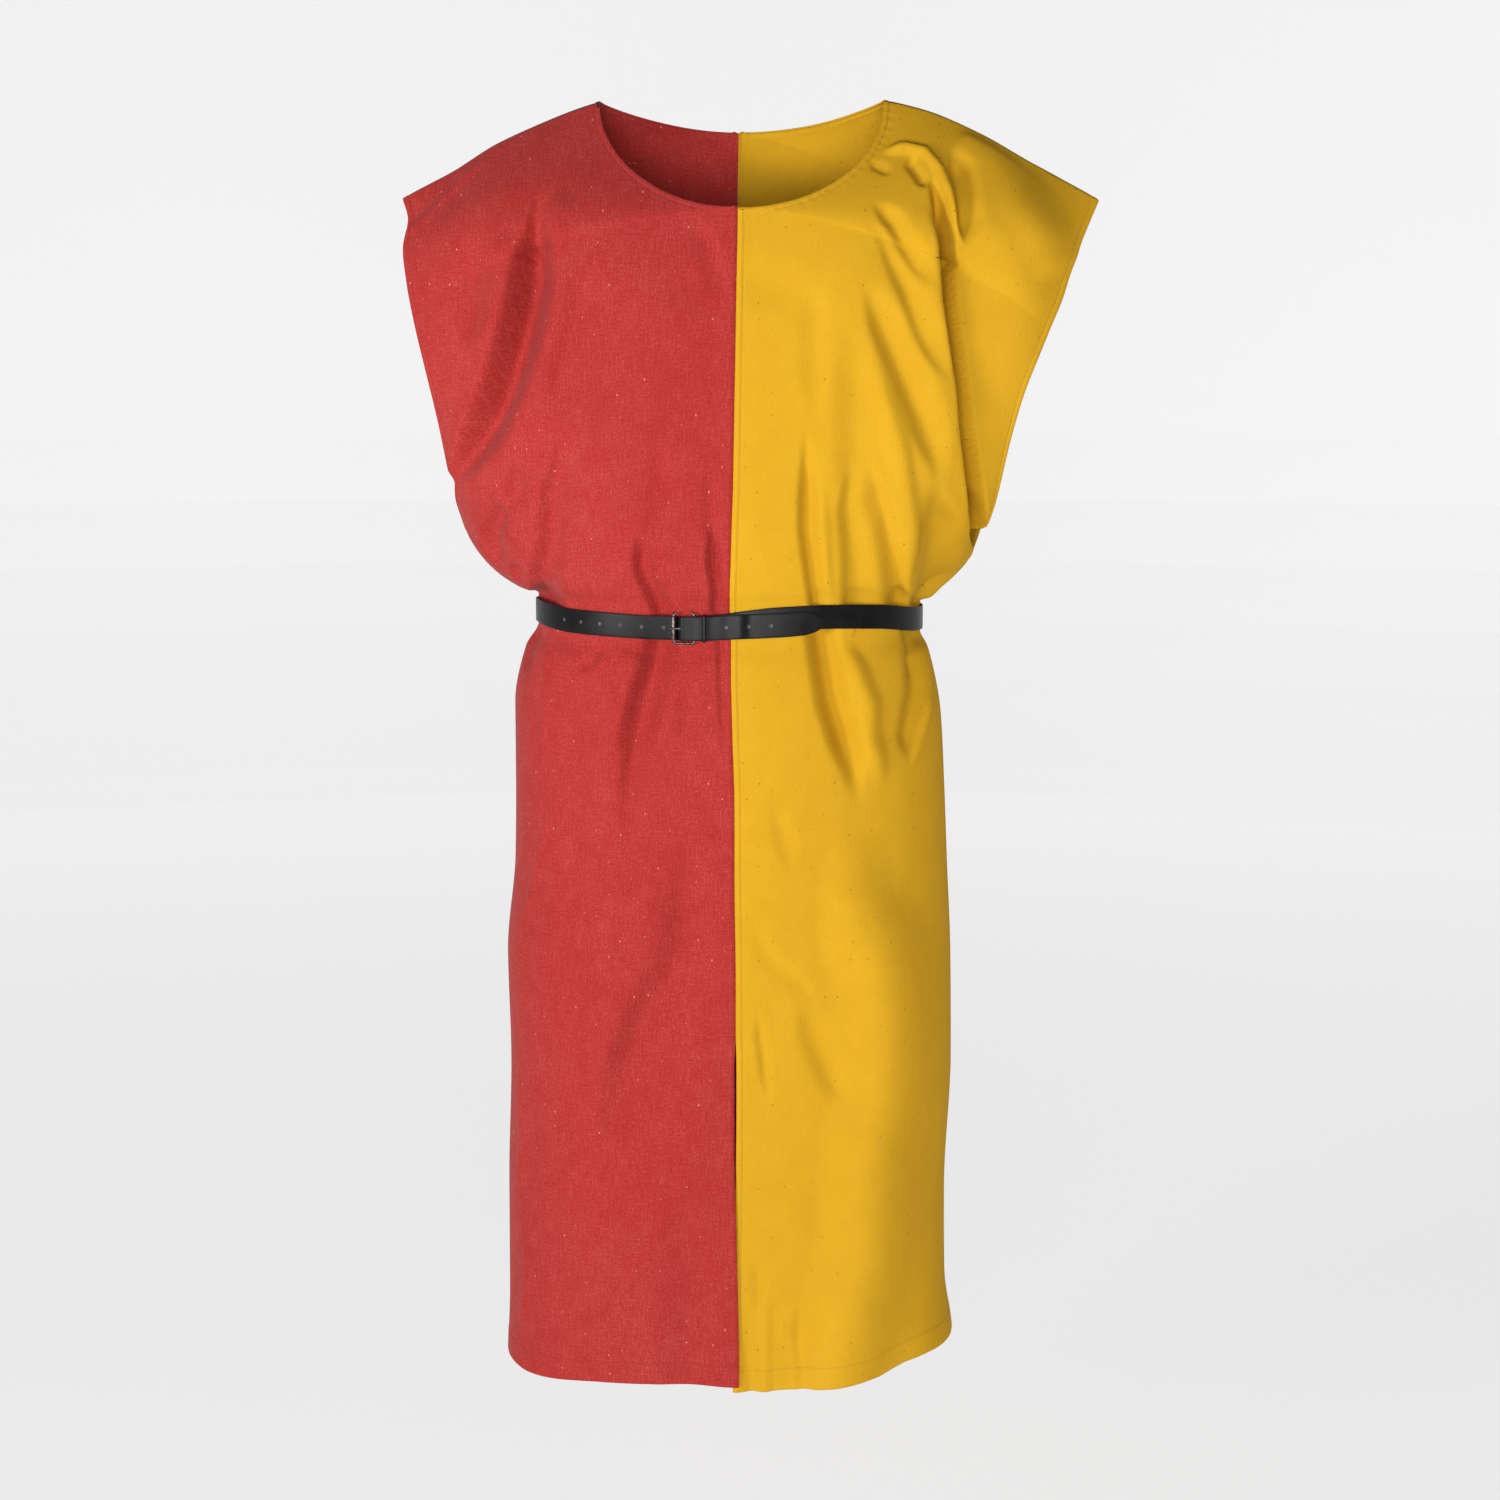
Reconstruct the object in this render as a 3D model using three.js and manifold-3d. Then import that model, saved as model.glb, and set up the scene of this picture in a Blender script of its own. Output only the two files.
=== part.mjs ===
// Parti-coloured tabard: a sleeveless surcoat in two colours, worn over the shoulders and
// gathered at the waist by its own leather belt. All sizes are millimetres.
// The frame: +X to the wearer's left, -Y to the front, +Z up. The origin is the point between
// the two neck corners where the garment rests on the shoulders.
//
// Each cloth panel is a wall that runs from the shoulder seam down to the hem. It is lofted
// through the rows of SECTIONS, from its inner edge (neckline, then centre seam) to its outer
// edge (armhole, then side seam). FOLDS then presses troughs and ridges into it.

import * as THREE from "three";
import Module from "manifold-3d";

const wasm = await Module();
wasm.setup();

const CLOTH = 1.6;            // wall of the cloth, hems included
const SEAM_GAP = 0.3;         // between two panels along a seam
const COLUMNS_FRONT = 20;     // steps across a front panel
const COLUMNS_BACK = 11;      // steps across a back panel

const NECK_CORNER_Z = 9;      // height of the neck corners
const NECK_RIGHT = 119;       // neck corner, out from the centre seam, wearer's right
const NECK_LEFT = 131;        // the same on the wearer's left
const NECK_FRONT = { y: -97, z: -89 };
const NECK_BACK = { y: 66, z: -15 };
const SLIT_TOP_Z = -804;      // the front seam is open from here to the hem
const SLIT_HALF = 1.1;        // half the slit's width

const LEATHER = 1.7;          // thickness of the belt
const BELT_HALF = 10.5;       // half its height
const BELT_GAP = 0.6;         // from the cloth to the leather
const HOLE_STEP = 19.5;       // between belt holes
const HOLE_RADIUS = 1.5;
const ROLLER_AT = -52;        // along the waist from the centre front
const HEEL_AT = -34;
const KEEPER_AT = -25.5;
const BUCKLE_OUT = 4.8;       // buckle's plane, out from the cloth
const BUCKLE_Z = -447.5;
const BUCKLE_HALF = 13.1;     // half the height of its bars' centre lines
const BAR_RADIUS = 1.2;
const ROLLER_RADIUS = 2.2;
const PIN_RADIUS = 0.95;
const PIN_OUT = BUCKLE_OUT + ROLLER_RADIUS + 0.3 + PIN_RADIUS;

const RED = { color: 0xb93236, roughness: 0.9, metalness: 0 };
const YELLOW = { color: 0xe3a823, roughness: 0.85, metalness: 0 };
const BLACK_LEATHER = { color: 0x1c1b1e, roughness: 0.45, metalness: 0 };
const DARK_METAL = { color: 0x3a3632, roughness: 0.4, metalness: 0.9 };

// One row per section from the shoulder seam (v = 0) to the hem (v = 1).
// cuts: steps up to this row. turn: how far the row wraps round, in degrees.
// full: 2 for an ellipse, more for a squarer section. swell: extra depth at mid row.
// The yF and yB columns are the depth of the front and back panel at the inner (In) and outer
// (Out) edge. zIn has one column for each face, because the neck is cut lower in front.
const COLUMNS = ["v", "cuts", "zInF", "zInB", "yInF", "yOutF", "swellF", "yInB", "yOutB",
  "swellB", "turn", "full"];
const SECTIONS = [
  [0.000, 0, 9, 9, 0, 0, 0, 0, 0, 0, 40, 2.0],
  [0.022, 2, 0, 0, 0, -12, 8, 0, 11, 8, 46, 2.0],
  [0.050, 2, 0, 0, 0, -27, 12, 0, 24, 13, 54, 2.0],
  [0.080, 2, 0, 0, 0, -38, 12, 0, 34, 16, 62, 2.0],
  [0.110, 2, -89, -15, -97, -46, 12, 66, 42, 18, 68, 2.0],
  [0.160, 3, -150, -92, -113, -54, 15, 88, 49, 18, 72, 2.0],
  [0.210, 3, -213, -170, -123, -53, 14, 102, 47, 14, 76, 2.1],
  [0.250, 2, -268, -236, -128, -40, 10, 107, 34, 9, 83, 2.2],
  [0.290, 2, -325, -300, -131, 0, 4, 108, 0, 4, 90, 2.3],
  [0.310, 1, -353, -333, -131, 0, 2, 108, 0, 2, 90, 2.3],
  [0.335, 2, -388, -374, -129, 0, 0, 107, 0, 0, 90, 2.3],
  [0.355, 1, -416, -408, -122, 0, 0, 104, 0, 0, 90, 2.3],
  [0.370, 1, -431, -430, -115, 0, 0, 100, 0, 0, 90, 2.3],
  [0.390, 1, -460, -458, -115, 0, 0, 100, 0, 0, 90, 2.3],
  [0.410, 1, -482, -478, -119, 0, 0, 105, 0, 0, 90, 2.3],
  [0.455, 2, -533, -528, -124, 0, 0, 115, 0, 0, 90, 2.2],
  [0.520, 3, -604, -598, -126, 0, 0, 121, 0, 0, 90, 2.2],
  [0.580, 2, -668, -664, -127, 0, 0, 123, 0, 0, 90, 2.2],
  [0.660, 3, -756, -752, -128, 0, 0, 125, 0, 0, 90, 2.25],
  [0.750, 3, -853, -850, -129, 0, 0, 126, 0, 0, 90, 2.35],
  [0.860, 4, -973, -971, -130, 0, 0, 127, 0, 0, 90, 2.45],
  [0.945, 3, -1066, -1065, -131, 0, 0, 128, 0, 0, 90, 2.6],
  [1.000, 2, -1127, -1127, -132, 0, 0, 128, 0, 0, 90, 2.7],
];

// The outer edge and the centre seam on each side of the body, one row per section above.
// xOut, zOut: armhole edge, then side seam. xIn: how far the centre seam strays sideways.
// fall: how late in the row the height drops. lift: extra height at mid row.
const RIGHT_SIDE = [
  [294, -77, 0, 1.06, 0], [288, -97, 0, 1.15, 0], [291, -121, 0, 1.25, 0],
  [287, -152, 0, 1.4, 0], [281, -182, -3, 1.4, 0], [269, -232, -2, 1.4, 0],
  [258, -281, -1, 1.4, 0], [250, -328, 0, 1.4, 0], [241, -371, 1, 1.4, 0],
  [232, -388, 2, 1.5, 0], [215, -407, 3, 1.7, 0], [195, -420, 4, 2.0, 0],
  [177, -426.5, 4, 2.0, 0], [177, -451.5, 3, 2.0, 0], [189, -474, 3, 1.8, 0],
  [199, -524, 2, 1.5, 0], [199, -593, 0, 1.5, 0], [200, -662, 0, 1.5, 0],
  [208, -752, -1, 1.5, 0], [206, -849, -1, 1.5, 0], [209, -968, -1, 1.5, 0],
  [209, -1064, 0, 1.5, 0], [211, -1125, 1, 1.5, 0],
];
const LEFT_SIDE = [
  [322, -78, 0, 1.18, 0], [310, -102, 0, 1.22, 0], [297, -131, 0, 1.3, 0],
  [286, -165, 0, 1.4, 0], [273, -195, 3, 1.4, 0], [252, -250, 2, 1.4, 0],
  [240, -306, 1, 1.4, 0], [229, -352, 0, 1.4, 0], [210, -397, -1, 1.4, 0],
  [199, -410, -2, 1.5, 0], [186, -422, -3, 1.7, 2], [176, -431, -4, 2.0, 4],
  [167, -434, -4, 2.0, 5], [167, -459, -3, 2.0, 3], [174, -475, -3, 1.8, 1],
  [186, -533, -2, 1.5, 0], [190, -600, 0, 1.5, 0], [193, -668, 0, 1.5, 0],
  [197, -755, 1, 1.5, 0], [198, -850, 1, 1.5, 0], [193, -970, 1, 1.5, 0],
  [194, -1064, 0, 1.5, 0], [201, -1125, -1, 1.5, 0],
];

// Folds: on which panel, half width, depth (minus presses in), the part of its length over
// which it fades in at the top and out at the foot, and its line as x, z as seen from the front.
const FOLDS = [
  ["front_right", 27, -12, 0.25, 0.15, [-158, -58, -176, -105, -198, -169, -212, -216, -240, -290]],
  ["front_right", 27, 7, 0.3, 0.4, [-148, -95, -167, -160, -183, -215, -205, -285]],
  ["front_right", 24, -5, 0.4, 0.5, [-120, -112, -136, -159, -154, -205]],
  ["front_right", 13, -8, 0.3, 0.3, [-226, -362, -214, -389, -200, -407]],
  ["front_right", 17, -7, 0.6, 0.1, [-158, -280, -168, -366, -172, -424]],
  ["front_right", 16, -6, 0.5, 0.1, [-90, -372, -79, -405, -65, -432]],
  ["front_right", 16, -6, 0.1, 0.6, [-68, -462, -82, -495, -98, -572]],
  ["front_right", 15, -4, 0.1, 0.7, [-150, -460, -152, -500, -160, -560]],
  ["front_right", 42, -8, 0.3, 0.35, [-42, -620, -60, -717, -84, -783, -121, -925]],
  ["front_right", 34, 4, 0.4, 0.4, [-92, -640, -112, -740, -140, -860]],
  ["front_left", 25, -14, 0.3, 0.15, [168, -56, 183, -112, 190, -190, 199, -255, 209, -322, 208, -388]],
  ["front_left", 26, 6, 0.4, 0.5, [188, -66, 206, -106, 218, -150, 226, -205]],
  ["front_left", 20, -5, 0.3, 0.3, [112, -66, 142, -108, 172, -152]],
  ["front_left", 24, -8, 0.3, 0.3, [103, -155, 121, -200, 151, -251, 171, -342]],
  ["front_left", 17, -4, 0.4, 0.4, [132, -142, 146, -176, 160, -215]],
  ["front_left", 15, -6, 0.5, 0.1, [56, -358, 63, -396, 70, -428]],
  ["front_left", 16, -7, 0.4, 0.1, [130, -310, 136, -369, 143, -426]],
  ["front_left", 17, -7, 0.1, 0.6, [73, -462, 74, -505, 92, -588]],
  ["front_left", 19, -6, 0.1, 0.5, [158, -470, 146, -524, 126, -575]],
  ["front_left", 36, 8, 0.35, 0, [89, -626, 122, -744, 130, -838, 98, -912, 103, -1010, 90, -1127]],
  ["front_left", 46, -14, 0.6, 0, [142, -640, 164, -800, 152, -960, 158, -1127]],
  ["back_right", 30, -9, 0.3, 0.3, [-120, -70, -160, -170, -205, -300]],
  ["back_right", 18, -7, 0.5, 0.1, [-60, -350, -72, -424]],
  ["back_right", 18, -7, 0.5, 0.1, [-130, -330, -124, -424]],
  ["back_right", 18, -7, 0.1, 0.5, [-72, -462, -84, -590]],
  ["back_right", 38, -9, 0.3, 0.1, [-130, -600, -100, -860, -112, -1120]],
  ["back_left", 30, -9, 0.3, 0.3, [128, -74, 158, -180, 186, -310]],
  ["back_left", 18, -7, 0.5, 0.1, [48, -345, 62, -424]],
  ["back_left", 18, -7, 0.5, 0.1, [118, -340, 126, -424]],
  ["back_left", 18, -7, 0.1, 0.5, [98, -462, 84, -580]],
  ["back_left", 38, -9, 0.3, 0.1, [70, -620, 96, -840, 120, -1120]],
];

// The belt's course: s along the waist from the centre front, out from the cloth to the middle
// of the leather, and height. It starts at its fixed end, turns round the buckle's heel bar,
// goes once round the waist, and ends as the tail. ONCE marks the rows after a full turn.
const UNDER = BELT_GAP + LEATHER / 2;
const OVER = UNDER + LEATHER + 0.3;
const FIXED_END = [
  [3, OVER, -444.5], [-4, OVER, -445.5], [-13, OVER + 1.0, -446.5], [-20, OVER + 1.8, -447],
  [-26, OVER + 3.0, -447.5], [-30, OVER + 3.8, -447.5],
];
const ROUND_THE_WAIST = [
  [-30, 2.45, -447.5], [-20, 2.45, -447], [-10, 1.6, -446], [0, UNDER, -444.5],
  [41, UNDER, -440], [80, UNDER, -438.8], [130, UNDER, -440.5], [185, UNDER, -446],
  [230, UNDER, -447], [420, UNDER, -445],
];
const TAIL = [
  [-250, UNDER, -441], [-215, UNDER, -439.5], [-185, UNDER, -441.5], [-150, UNDER, -444.5], [-110, UNDER, -446],
  [-62, UNDER, -447.5], [-57, UNDER, -447.5], [-53, UNDER - 0.1, -447.5],
  [-50.4, 1.9, -447.5], [-48.9, 3.1, -447.5], [-46.6, 6.8, -447.5], [-45, 8.6, -447.5],
  [-42, 9.3, -447.5], [-34, 9.3, -447.5], [-30, 9.0, -447.5], [-26, 8.3, -447.5],
  [-20, 7.0, -447.3], [-13, 6.2, -447], [-4, 5.3, -446.6], [4, 5.2, -446.2],
  [14, OVER, -446], [41, OVER, -445], [60, OVER, -443.8], [77, OVER, -442.8],
];
const PRONG_CROSSES_AT = -46.3;

// Monotone cubic through a column of a table: it never swings past the values it joins.
function curve(xs, ys) {
  const slopes = xs.slice(1).map((x, i) => (ys[i + 1] - ys[i]) / (x - xs[i]));
  const tangents = xs.map((_, i) => {
    if (i === 0) return slopes[0];
    if (i === xs.length - 1) return slopes[i - 1];
    const [a, b] = [slopes[i - 1], slopes[i]];
    return a * b <= 0 ? 0 : 2 * a * b / (a + b);
  });
  return (x) => {
    let i = 0;
    while (i < xs.length - 2 && x > xs[i + 1]) i += 1;
    const h = xs[i + 1] - xs[i];
    const t = THREE.MathUtils.clamp((x - xs[i]) / h, 0, 1);
    const [t2, t3] = [t * t, t * t * t];
    return (2 * t3 - 3 * t2 + 1) * ys[i] + (t3 - 2 * t2 + t) * h * tangents[i]
      + (3 * t2 - 2 * t3) * ys[i + 1] + (t3 - t2) * h * tangents[i + 1];
  };
}

// Rises smoothly from 0 to 1 as t does.
function ramp(t) {
  return THREE.MathUtils.smoothstep(t, 0, 1);
}

const rowV = SECTIONS.map((row) => row[0]);
const section = Object.fromEntries(
  COLUMNS.map((name, i) => [name, curve(rowV, SECTIONS.map((row) => row[i]))]),
);
const NECK_ROW = 4;
const ARMHOLE_ROW = 8;
const NECK_V = rowV[NECK_ROW];
const ARMHOLE_V = rowV[ARMHOLE_ROW];

function side(table) {
  const column = (i) => curve(rowV, table.map((row) => row[i]));
  return { xOut: column(0), zOut: column(1), xIn: column(2), fall: column(3), lift: column(4) };
}
const SIDES = { right: side(RIGHT_SIDE), left: side(LEFT_SIDE) };

// Inner edge of a panel: the quarter of the neck opening, then the centre seam.
function innerEdge(hand, face, v) {
  const out = hand === "left" ? 1 : -1;
  const corner = hand === "left" ? NECK_LEFT : NECK_RIGHT;
  if (v < NECK_V) {
    const angle = (v / NECK_V) * Math.PI / 2;
    const [c, s] = [Math.cos(angle), Math.sin(angle)];
    const low = face === "front" ? NECK_FRONT : NECK_BACK;
    const drop = face === "front" ? s : s * s;
    const x = out * corner * c + SIDES[hand].xIn(NECK_V) * s * out;
    return new THREE.Vector3(x, low.y * s, NECK_CORNER_Z + (low.z - NECK_CORNER_Z) * drop);
  }
  if (face === "back") {
    return new THREE.Vector3(out * SIDES[hand].xIn(v), section.yInB(v), section.zInB(v));
  }
  const slit = SLIT_HALF * ramp((SLIT_TOP_Z - section.zInF(v)) / 40);
  return new THREE.Vector3(out * (SIDES[hand].xIn(v) + slit), section.yInF(v), section.zInF(v));
}

// A panel's plain surface, before its folds: s runs from the inner to the outer edge.
function plainPoint(hand, face, s, v) {
  const out = hand === "left" ? 1 : -1;
  const [yOut, swell] = face === "front" ? ["yOutF", "swellF"] : ["yOutB", "swellB"];
  const edge = innerEdge(hand, face, v);
  const turn = THREE.MathUtils.degToRad(section.turn(v));
  const power = 2 / section.full(v);
  const across = (Math.sin(turn * s) / Math.sin(turn)) ** power;
  const depth = Math.max(0, (Math.cos(turn * s) - Math.cos(turn)) / (1 - Math.cos(turn))) ** power;
  const outer = { x: out * SIDES[hand].xOut(v), y: section[yOut](v), z: SIDES[hand].zOut(v) };
  const bulge = (face === "front" ? -1 : 1) * section[swell](v) * Math.sin(Math.PI * s) ** 1.6;
  return new THREE.Vector3(
    edge.x + (outer.x - edge.x) * across,
    outer.y + (edge.y - outer.y) * depth + bulge,
    edge.z + (outer.z - edge.z) * s ** SIDES[hand].fall(v)
      + SIDES[hand].lift(v) * Math.sin(Math.PI * s),
  );
}

// One row of a panel, its points evenly spaced along the cloth.
function plainRow(hand, face, v, columns) {
  const fine = Array.from({ length: 121 }, (_, i) => plainPoint(hand, face, i / 120, v));
  const run = [0];
  fine.slice(1).forEach((p, i) => run.push(run[i] + p.distanceTo(fine[i])));
  return Array.from({ length: columns + 1 }, (_, i) => {
    const at = run[120] * i / columns;
    let k = 0;
    while (k < 119 && run[k + 1] < at) k += 1;
    return fine[k].clone().lerp(fine[k + 1], (at - run[k]) / (run[k + 1] - run[k]));
  });
}

// How far the folds move a point of the panel, outwards being plus.
function foldDepth(name, p) {
  let total = 0;
  for (const [panel, width, depth, fadeIn, fadeOut, line] of FOLDS) {
    if (panel !== name) continue;
    const lengths = [0];
    for (let i = 2; i < line.length; i += 2) {
      const step = Math.hypot(line[i] - line[i - 2], line[i + 1] - line[i - 1]);
      lengths.push(lengths.at(-1) + step);
    }
    let best = { away: Infinity, along: 0 };
    for (let i = 0; i + 3 < line.length; i += 2) {
      const [ax, az, bx, bz] = line.slice(i, i + 4);
      const span = (bx - ax) ** 2 + (bz - az) ** 2;
      const t = THREE.MathUtils.clamp(((p.x - ax) * (bx - ax) + (p.z - az) * (bz - az)) / span, 0, 1);
      const away = Math.hypot(p.x - ax - t * (bx - ax), p.z - az - t * (bz - az));
      if (away < best.away) {
        const from = lengths[i / 2];
        best = { away, along: (from + t * (lengths[i / 2 + 1] - from)) / lengths.at(-1) };
      }
    }
    if (best.away > width) continue;
    const start = fadeIn ? ramp(best.along / fadeIn) : 1;
    const end = fadeOut ? ramp((1 - best.along) / fadeOut) : 1;
    total += depth * start * end * (1 + Math.cos(Math.PI * best.away / width)) / 2;
  }
  return total;
}

// Joins a stack of rings of equal length into one closed body. An open stack is closed at both
// ends by strips across the ring; a loop joins its last ring to its first.
function loft(rings, loop = false) {
  const n = rings[0].length;
  const position = rings.flat().flatMap((p) => [p.x, p.y, p.z]);
  const index = [];
  const quad = (a, b, c, d) => index.push(a, b, c, a, c, d);
  const stacks = loop ? rings.length : rings.length - 1;
  for (let r = 0; r < stacks; r += 1) {
    const [low, high] = [r * n, ((r + 1) % rings.length) * n];
    for (let i = 0; i < n; i += 1) {
      const j = (i + 1) % n;
      quad(low + i, low + j, high + j, high + i);
    }
  }
  if (!loop) {
    const last = (rings.length - 1) * n;
    for (let i = 0; i < n / 2 - 1; i += 1) {
      quad(i, n - 1 - i, n - 2 - i, i + 1);
      quad(last + i, last + i + 1, last + n - 2 - i, last + n - 1 - i);
    }
  }
  const volume = index.reduce((sum, _, k) => {
    if (k % 3) return sum;
    const [a, b, c] = [0, 1, 2].map((m) => new THREE.Vector3(...position.slice(index[k + m] * 3,
      index[k + m] * 3 + 3)));
    return sum + a.dot(b.cross(c));
  }, 0);
  if (volume < 0) index.reverse();
  const geometry = new THREE.BufferGeometry();
  geometry.setAttribute("position", new THREE.Float32BufferAttribute(position, 3));
  geometry.setIndex(index);
  return geometry;
}

// A cloth panel: the folded surface outside, and the same surface one wall further in.
function panel(hand, face) {
  const name = `${face}_${hand}`;
  const columns = face === "front" ? COLUMNS_FRONT : COLUMNS_BACK;
  const out = hand === "left" ? 1 : -1;
  const ahead = face === "front" ? -1 : 1;
  const steps = [0];
  SECTIONS.slice(1).forEach(([v, cuts], i) => {
    for (let k = 1; k <= cuts; k += 1) steps.push(rowV[i] + (v - rowV[i]) * k / cuts);
  });
  const plain = steps.map((v) => plainRow(hand, face, v, columns));

  const normals = (grid) => grid.map((row, j) => row.map((_, i) => {
    const along = grid[j][Math.min(i + 1, columns)].clone().sub(grid[j][Math.max(i - 1, 0)]);
    const down = grid[Math.min(j + 1, grid.length - 1)][i].clone().sub(grid[Math.max(j - 1, 0)][i]);
    const normal = along.cross(down).multiplyScalar(out * ahead);
    if (j === 0) normal.y = 0;
    if (i === 0 && steps[j] >= NECK_V) normal.x = 0;
    if (i === columns && steps[j] >= ARMHOLE_V) normal.y = 0;
    return normal.normalize();
  }));
  const onSeam = (p, i, j) => {
    if (j === 0) p.y = ahead * SEAM_GAP / 2;
    if (i === 0 && steps[j] >= NECK_V) p.x += out * SEAM_GAP / 2;
    if (i === columns && steps[j] >= ARMHOLE_V) p.y = ahead * SEAM_GAP / 2;
    return p;
  };

  const plainNormals = normals(plain);
  const edgeFade = (i, j) => {
    const seam = steps[j] >= NECK_V ? ramp(i / 1.5) : 1;
    const sideSeam = steps[j] >= ARMHOLE_V ? ramp((columns - i) / 1.5) : 1;
    return seam * sideSeam * ramp(j / 2);
  };
  const outer = plain.map((row, j) => row.map((p, i) => {
    const depth = foldDepth(name, p) * edgeFade(i, j);
    return p.clone().addScaledVector(plainNormals[j][i], depth);
  }));
  const outerNormals = normals(outer);
  const inner = outer.map((row, j) => row.map((p, i) => (
    onSeam(p.clone().addScaledVector(outerNormals[j][i], -CLOTH), i, j)
  )));
  outer.forEach((row, j) => row.forEach((p, i) => onSeam(p, i, j)));
  return loft(outer.map((row, j) => [...row, ...inner[j].toReversed()]));
}

// The waist: the plan of the cloth under the belt, as points with their distance round.
const BELT_V = (rowV[12] + rowV[13]) / 2;
const quarter = (hand, face) => plainRow(hand, face, BELT_V, 60);
const waistPlan = [
  ...quarter("left", "front"),
  ...quarter("left", "back").toReversed().slice(1),
  ...quarter("right", "back").slice(1),
  ...quarter("right", "front").toReversed().slice(1),
].map((p) => new THREE.Vector2(p.x, p.y));
const waistRun = [0];
waistPlan.slice(1).forEach((p, i) => waistRun.push(waistRun[i] + p.distanceTo(waistPlan[i])));
const GIRTH = waistRun.at(-1);

// A point on the waist at distance s from the middle of the front, moved out from the cloth.
// The waist's own points start at the centre seam, which strays a little to one side.
function waist(s, away) {
  const at = THREE.MathUtils.euclideanModulo(s - waistPlan[0].x, GIRTH);
  let k = 0;
  while (k < waistRun.length - 2 && waistRun[k + 1] < at) k += 1;
  const t = (at - waistRun[k]) / (waistRun[k + 1] - waistRun[k]);
  const point = waistPlan[k].clone().lerp(waistPlan[k + 1], t);
  const before = waistPlan[(k + waistPlan.length - 2) % (waistPlan.length - 1)];
  const after = waistPlan[(k + 2) % (waistPlan.length - 1)];
  const along = after.clone().sub(before).normalize();
  return point.add(new THREE.Vector2(along.y, -along.x).multiplyScalar(away));
}

// The belt's centre line: the turn round the heel bar lies between its first two stretches.
function beltLine() {
  const follow = (rows, from, to, step) => {
    const s = rows.map((row) => row[0]);
    const sign = s[1] > s[0] ? 1 : -1;
    const keys = s.map((value) => value * sign);
    const [away, height] = [1, 2].map((i) => curve(keys, rows.map((row) => row[i])));
    const count = Math.max(1, Math.round(Math.abs(to - from) / step));
    return Array.from({ length: count + 1 }, (_, i) => {
      const at = from + (to - from) * i / count;
      const plan = waist(at, away(at * sign));
      return new THREE.Vector3(plan.x, plan.y, height(at * sign));
    });
  };
  const turn = BAR_RADIUS + 0.3 + LEATHER / 2;
  const bend = [150, 120, 90, 60, 30, 0, -30, -60, -90, -120, -150].map((degrees) => {
    const angle = THREE.MathUtils.degToRad(degrees);
    const plan = waist(HEEL_AT - turn * Math.cos(angle * 0.6), BUCKLE_OUT + turn * Math.sin(angle * 0.6));
    return new THREE.Vector3(plan.x, plan.y, BUCKLE_Z);
  });
  const rest = ROUND_THE_WAIST.concat(TAIL.map(([s, away, z]) => [s + GIRTH, away, z]));
  const near = follow(rest, -30, 200, 7);
  const back = follow(rest, 200, GIRTH - 62, 10).slice(1);
  const buckle = follow(rest, GIRTH - 62, GIRTH - 20, 1.2).slice(1);
  const tail = follow(rest, GIRTH - 20, GIRTH + 77, 5).slice(1);
  return [...follow(FIXED_END, 3, -30, 4.5), ...bend, ...near, ...back, ...buckle, ...tail];
}

function asManifold(geometry) {
  const mesh = new wasm.Mesh({
    numProp: 3,
    vertProperties: new Float32Array(geometry.attributes.position.array),
    triVerts: new Uint32Array(geometry.index.array),
  });
  mesh.merge();
  return new wasm.Manifold(mesh);
}

function asGeometry(solid) {
  const mesh = solid.getMesh();
  const geometry = new THREE.BufferGeometry();
  geometry.setAttribute("position", new THREE.Float32BufferAttribute(mesh.vertProperties, 3));
  geometry.setIndex(new THREE.Uint32BufferAttribute(mesh.triVerts, 1));
  return geometry;
}

// A rod along a line of points, with a round section that may taper; a loop closes on itself.
function rod(points, radii, sides, loop = false) {
  const n = points.length;
  const rings = points.map((p, i) => {
    const after = points[loop ? (i + 1) % n : Math.min(i + 1, n - 1)];
    const before = points[loop ? (i + n - 1) % n : Math.max(i - 1, 0)];
    const along = after.clone().sub(before).normalize();
    const upright = Math.abs(along.y) > 0.8 ? new THREE.Vector3(0, 0, 1) : new THREE.Vector3(0, 1, 0);
    const across = upright.clone().cross(along).normalize();
    const third = along.clone().cross(across);
    return Array.from({ length: sides }, (_, k) => {
      const angle = (k + 0.5) * 2 * Math.PI / sides;
      return p.clone().addScaledVector(across, radii[i] * Math.cos(angle))
        .addScaledVector(third, radii[i] * Math.sin(angle));
    });
  });
  return loft(rings, loop);
}

// Buckle frame of reference: at the waist, x along the belt, y out from the cloth, z up.
const buckleBasis = (() => {
  const [from, to] = [waist(ROLLER_AT, 0), waist(HEEL_AT, 0)];
  const along = to.clone().sub(from).normalize();
  return { from, along, outward: new THREE.Vector2(along.y, -along.x) };
})();
function atBuckle(s, away, z) {
  const { from, along, outward } = buckleBasis;
  const plan = from.clone().addScaledVector(along, s - ROLLER_AT).addScaledVector(outward, away);
  return new THREE.Vector3(plan.x, plan.y, BUCKLE_Z + z);
}

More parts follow.
